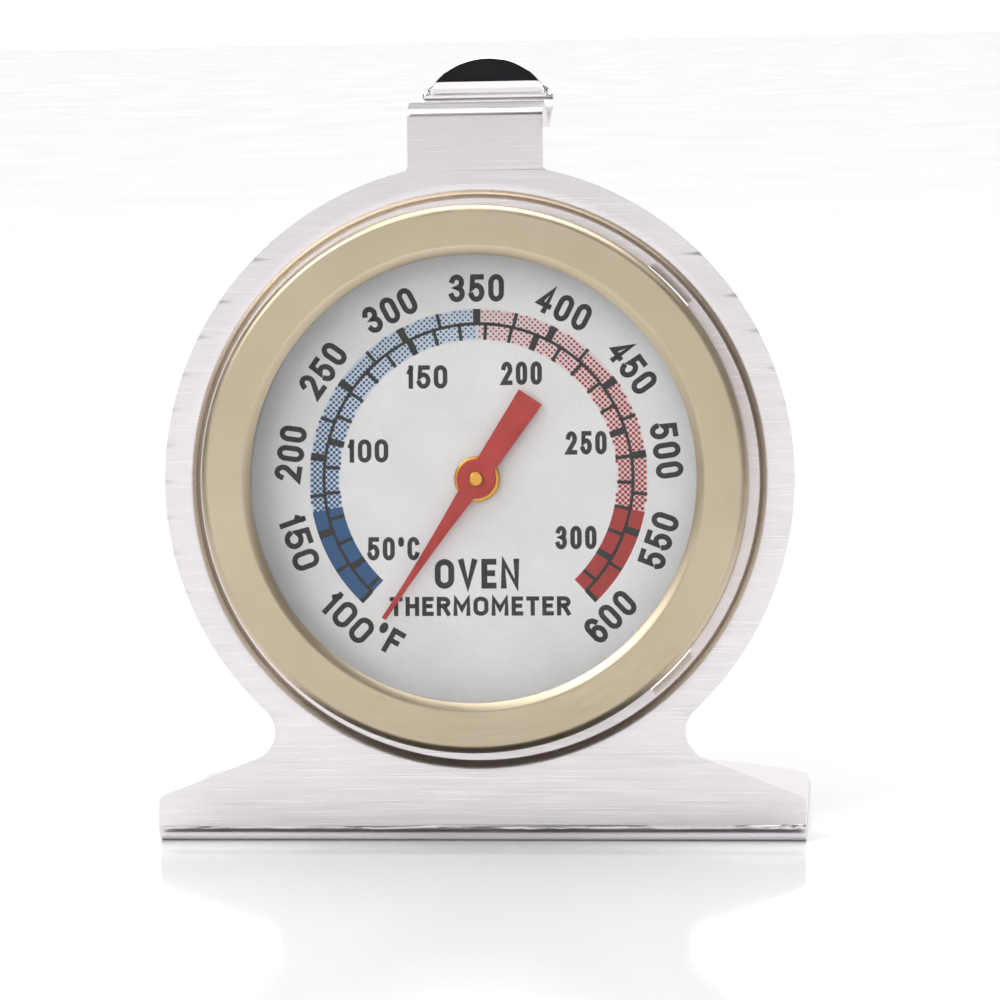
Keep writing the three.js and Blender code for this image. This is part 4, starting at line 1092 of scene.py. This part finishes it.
def make_small_parts():
    """Turned and headed small parts, each a stepped profile carried round the arbor or, for
    those off the axis, moved to its place."""
    bore = ARBOR_RADIUS + RUN_GAP
    floor, outside = CUP_FLOOR, CUP_FLOOR - CUP_SHEET
    arbor = rounded([(0, outside - SEAT_GAP), (ARBOR_RADIUS, outside - SEAT_GAP, 0.08),
                     (ARBOR_RADIUS, ARBOR_FRONT, 0.22), (0, ARBOR_FRONT)], 5)
    rim = bore + BOSS_WALL
    boss = rounded([(bore, BOSS_BACK), (rim, BOSS_BACK, 0.1), (rim, BOSS_FRONT, 0.18),
                    (bore, BOSS_FRONT)], 4)
    seat, front = floor + SEAT_GAP, floor + SEAT_GAP + BEARING_FLANGE_SHEET
    bearing = [(bore, outside - 0.5), (BEARING_SHANK - 0.3, outside - 0.5),
               (BEARING_SHANK, outside - 0.3), (BEARING_SHANK, seat), (BEARING_FLANGE, seat),
               (BEARING_FLANGE, front), (bore, front)]
    parts = [
        ("arbor_pin", arbor, "brass", "arbor", "pointer_shaft", True),
        ("pointer_boss_turned", boss, "brass", "pointer_boss", "pointer_shaft", False),
        ("rear_bearing_turned", bearing, "brass", "rear_bearing", "case", False),
    ]
    for name, profile, slot, node, body, solid in parts:
        part = turned(name, profile, 64, open_ended=solid)
        softened(part, 0.05)
        placed(part, body, slot, [node])

    inner_face, outer_face = floor + SEAT_GAP + SHEET + SEAT_GAP, outside - SEAT_GAP
    dome = [(RIVET_HEAD * math.sin(a), RIVET_DOME * math.cos(a))
            for a in np.linspace(0, math.pi / 2, 8)]
    rivet = [(r, inner_face + h) for r, h in dome] + [(SHANK, inner_face), (SHANK, outer_face)]
    rivet += [(r, outer_face - h) for r, h in dome[::-1]]
    stud = [(r * 0.8, outer_face - h) for r, h in dome]
    stud += [(SHANK, outer_face), (SHANK, seat), (STUD_RADIUS, seat),
             (STUD_RADIUS, STUD_FRONT - STUD_CHAMFER), (STUD_RADIUS - STUD_CHAMFER, STUD_FRONT),
             (0, STUD_FRONT)]
    for name, profile, slot, node, x, up in (
            ("rivet_left", rivet, "rivet_steel", "bridge_rivet_left", -RIVET_PLACE, 0),
            ("rivet_right", rivet, "rivet_steel", "bridge_rivet_right", RIVET_PLACE, 0),
            ("coil_stud_turned", stud, "brass", "coil_stud", 0, STUD_PLACE)):
        part = turned(name, profile, 48, open_ended=True)
        part.data.transform(Matrix.Translation((MM * (x * RIGHT + up * UP)).tolist()))
        placed(part, "case", slot, [node])


def make_coil():
    """Bimetal coil: a strip's section carried along a spiral of even pitch that ends with a
    smooth step out to its stud."""
    turns = (COIL_LAST - COIL_FIRST) / COIL_PITCH
    end = math.pi / 2 + STUD_RADIUS / STUD_PLACE
    steps = 900
    share = np.linspace(0, 1, steps)
    left = 2 * np.pi * turns * (1 - share)
    leaves, arrives = math.radians(75), 0.32
    step = np.clip((leaves - left) / (leaves - arrives), 0, 1)
    radius = COIL_FIRST + (COIL_LAST - COIL_FIRST) * share
    radius += (STUD_PLACE - COIL_LAST) * step * step * (3 - 2 * step)
    angle = end - left
    edge, soft = COIL_STRIP / 2, 0.06
    section = np.array([(-edge, COIL_BACK + soft), (soft - edge, COIL_BACK), (edge - soft, COIL_BACK),
                        (edge, COIL_BACK + soft), (edge, COIL_FRONT - soft),
                        (edge - soft, COIL_FRONT), (soft - edge, COIL_FRONT),
                        (-edge, COIL_FRONT - soft)])
    corners = len(section)
    reach = radius[:, None] + section[:, 0]
    points = on_head(reach * np.cos(angle)[:, None], reach * np.sin(angle)[:, None], section[:, 1])
    faces = grid_faces(steps, corners, wrap_columns=True).tolist()
    faces.append(list(range(corners)))
    faces.append(list(range(steps * corners))[:-corners - 1:-1])
    coil = new_object("bimetal_spiral", points, faces)
    work = bmesh.new()
    work.from_mesh(coil.data)
    bmesh.ops.recalc_face_normals(work, faces=work.faces)
    for face in work.faces:
        face.smooth = True
    work.to_mesh(coil.data)
    work.free()
    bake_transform(coil)
    coil.data.materials.append(MATERIALS["bimetal"])
    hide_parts("bimetal_coil")


KEPT = {
    "bridge": "bridge_steel", "front_bearing": "brass", "front_washer": "bridge_steel",
    "rear_washer": "bridge_steel", "coil_collet": "brass", "coil_pin": "brass",
}

make_stand()
make_bezel_ring()
make_glass()
make_spacer()
make_dial()
make_cup()
make_pointer()
make_scale()
make_lettering()
make_small_parts()
make_coil()
for node, slot in KEPT.items():
    kept = frame["nodes"][node]
    for place in kept.material_slots:
        place.material = MATERIALS[slot]

# ---------------------------------------------------------------- floor, light and camera


def make_floor():
    """A wide pale gloss floor."""
    half = 3.0
    floor = new_object("floor", [(-half, -half, 0), (half, -half, 0), (half, half, 0), (-half, half, 0)],
                       [(0, 1, 2, 3)])
    material, output = new_material("white_gloss_board")
    place = add(material, "ShaderNodeTexCoord").outputs["Object"]
    haze = add(material, "ShaderNodeTexNoise",
               {"Vector": place, "Scale": 1 / (40 * MM), "Detail": 2, "Roughness": 0.55}
               ).outputs["Fac"]
    roughness = add(material, "ShaderNodeMapRange",
                    {"Value": haze, **MID_NOISE, "To Min": 0.1, "To Max": 0.14}
                    ).outputs["Result"]
    surface(material, output, Base_Color=linear("#f6f6f8"), Roughness=roughness,
            Specular_IOR_Level=0.5)
    floor.data.materials.append(material)


def make_flag(name, centre, width, height, tilt):
    """A black studio flag that only reflections see."""
    cos, sin = math.cos(tilt), math.sin(tilt)
    corners = [(centre[0] + a * width / 2, centre[1] - b * height / 2 * sin,
                centre[2] + b * height / 2 * cos) for a, b in ((-1, -1), (1, -1), (1, 1), (-1, 1))]
    flag = new_object(name, corners, [(0, 1, 2, 3)])
    material, output = new_material(name + "_cloth")
    cloth = surface(material, output, Base_Color=linear("#15151a"), Roughness=0.9)
    reverse = add(material, "ShaderNodeNewGeometry").outputs["Backfacing"]
    clear = add(material, "ShaderNodeBsdfTransparent").outputs[0]
    mixed = add(material, "ShaderNodeMixShader", {0: reverse, 1: cloth.outputs[0], 2: clear})
    material.node_tree.links.new(mixed.outputs[0], output.inputs["Surface"])
    flag.data.materials.append(material)
    flag.visible_camera = False
    flag.visible_diffuse = False
    flag.visible_shadow = False
    flag.visible_transmission = False


def make_light(name, place, aim, size, power):
    """A square soft white light, turned to what it lights."""
    light = bpy.data.lights.new(name, "AREA")
    light.size = size
    light.energy = power
    holder = bpy.data.objects.new(name, light)
    bpy.context.scene.collection.objects.link(holder)
    holder.location = place
    holder.rotation_euler = (Vector(aim) - Vector(place)).to_track_quat("-Z", "Y").to_euler()


def make_world():
    """White surroundings to look at. What lights and mirrors in the metal is a white wall in
    front and one behind, with dimmer grey all round them, which draws dark lines along bends
    and cut edges."""
    world = bpy.data.worlds.new("white_studio")
    world.use_nodes = True
    world.node_tree.nodes.clear()
    way = add(world, "ShaderNodeTexCoord").outputs["Generated"]
    front = add(world, "ShaderNodeVectorMath", {0: way, 1: WALL_WAY},
                operation="DOT_PRODUCT").outputs["Value"]
    front = add(world, "ShaderNodeMath", {0: front}, operation="ABSOLUTE").outputs[0]
    wall = add(world, "ShaderNodeMapRange",
               {"Value": front, "From Min": math.cos(WALL_ENDS), "From Max": math.cos(WALL_FADES),
                "To Min": DIM, "To Max": WALL}).outputs["Result"]
    seen = add(world, "ShaderNodeLightPath").outputs["Is Camera Ray"]
    strength = add(world, "ShaderNodeMath", {0: seen, 1: wall}, operation="MAXIMUM").outputs[0]
    back = add(world, "ShaderNodeBackground", {"Color": (1, 1, 1, 1), "Strength": strength})
    output = add(world, "ShaderNodeOutputWorld")
    world.node_tree.links.new(back.outputs[0], output.inputs["Surface"])
    bpy.context.scene.world = world


def make_camera():
    """A long lens from a little to the right and above, level to within about a degree."""
    distance, azimuth, elevation, roll = 345.66, 5.689, 8.478, -1.266
    length_to_width = 3.700377
    target = np.array([2.261, -15.5, 32.052])
    a, e, r = np.radians([azimuth, elevation, roll])
    ahead = np.array([-math.sin(a) * math.cos(e), math.cos(a) * math.cos(e), -math.sin(e)])
    right = np.array([math.cos(a), math.sin(a), 0.0])
    top = np.cross(right, ahead)
    turned_right = right * math.cos(r) + top * math.sin(r)
    turned_top = top * math.cos(r) - right * math.sin(r)
    camera = bpy.data.cameras.new("camera")
    camera.sensor_width = 36
    camera.lens = camera.sensor_width * length_to_width
    camera.clip_start = 0.01
    camera.clip_end = 20
    holder = bpy.data.objects.new("camera", camera)
    bpy.context.scene.collection.objects.link(holder)
    place = (target - ahead * distance) * MM
    rows = np.column_stack([turned_right, turned_top, -ahead, place])
    holder.matrix_world = Matrix([*rows.tolist(), [0, 0, 0, 1]])
    bpy.context.scene.camera = holder


# strengths of the grey surroundings and the white walls, the way to the front wall, and the
# angles from it at which a wall starts to fade and ends
DIM, WALL = 0.25, 1.2
WALL_WAY = (0.1, -0.98, 0.12)
WALL_FADES, WALL_ENDS = math.radians(26), math.radians(48)

make_floor()
# the tongue mirrors the high flag, and the fold mirrors the strip that lies in front of it
make_flag("flag_high", (0, -0.7, 0.72), -2.2, 0.9, math.radians(-45))
make_flag("flag_low", (0, -0.045, 0.0001), 0.0605, 0.051, math.radians(-90))
make_light("overhead", (0, 0.05, 0.9), (0, 0, 0), 0.9, 7)
make_light("key", (-0.45, -0.45, 0.6), (0, 0, 0.03), 0.3, 2.5)
make_world()
make_camera()
bpy.context.scene.view_settings.view_transform = "Standard"
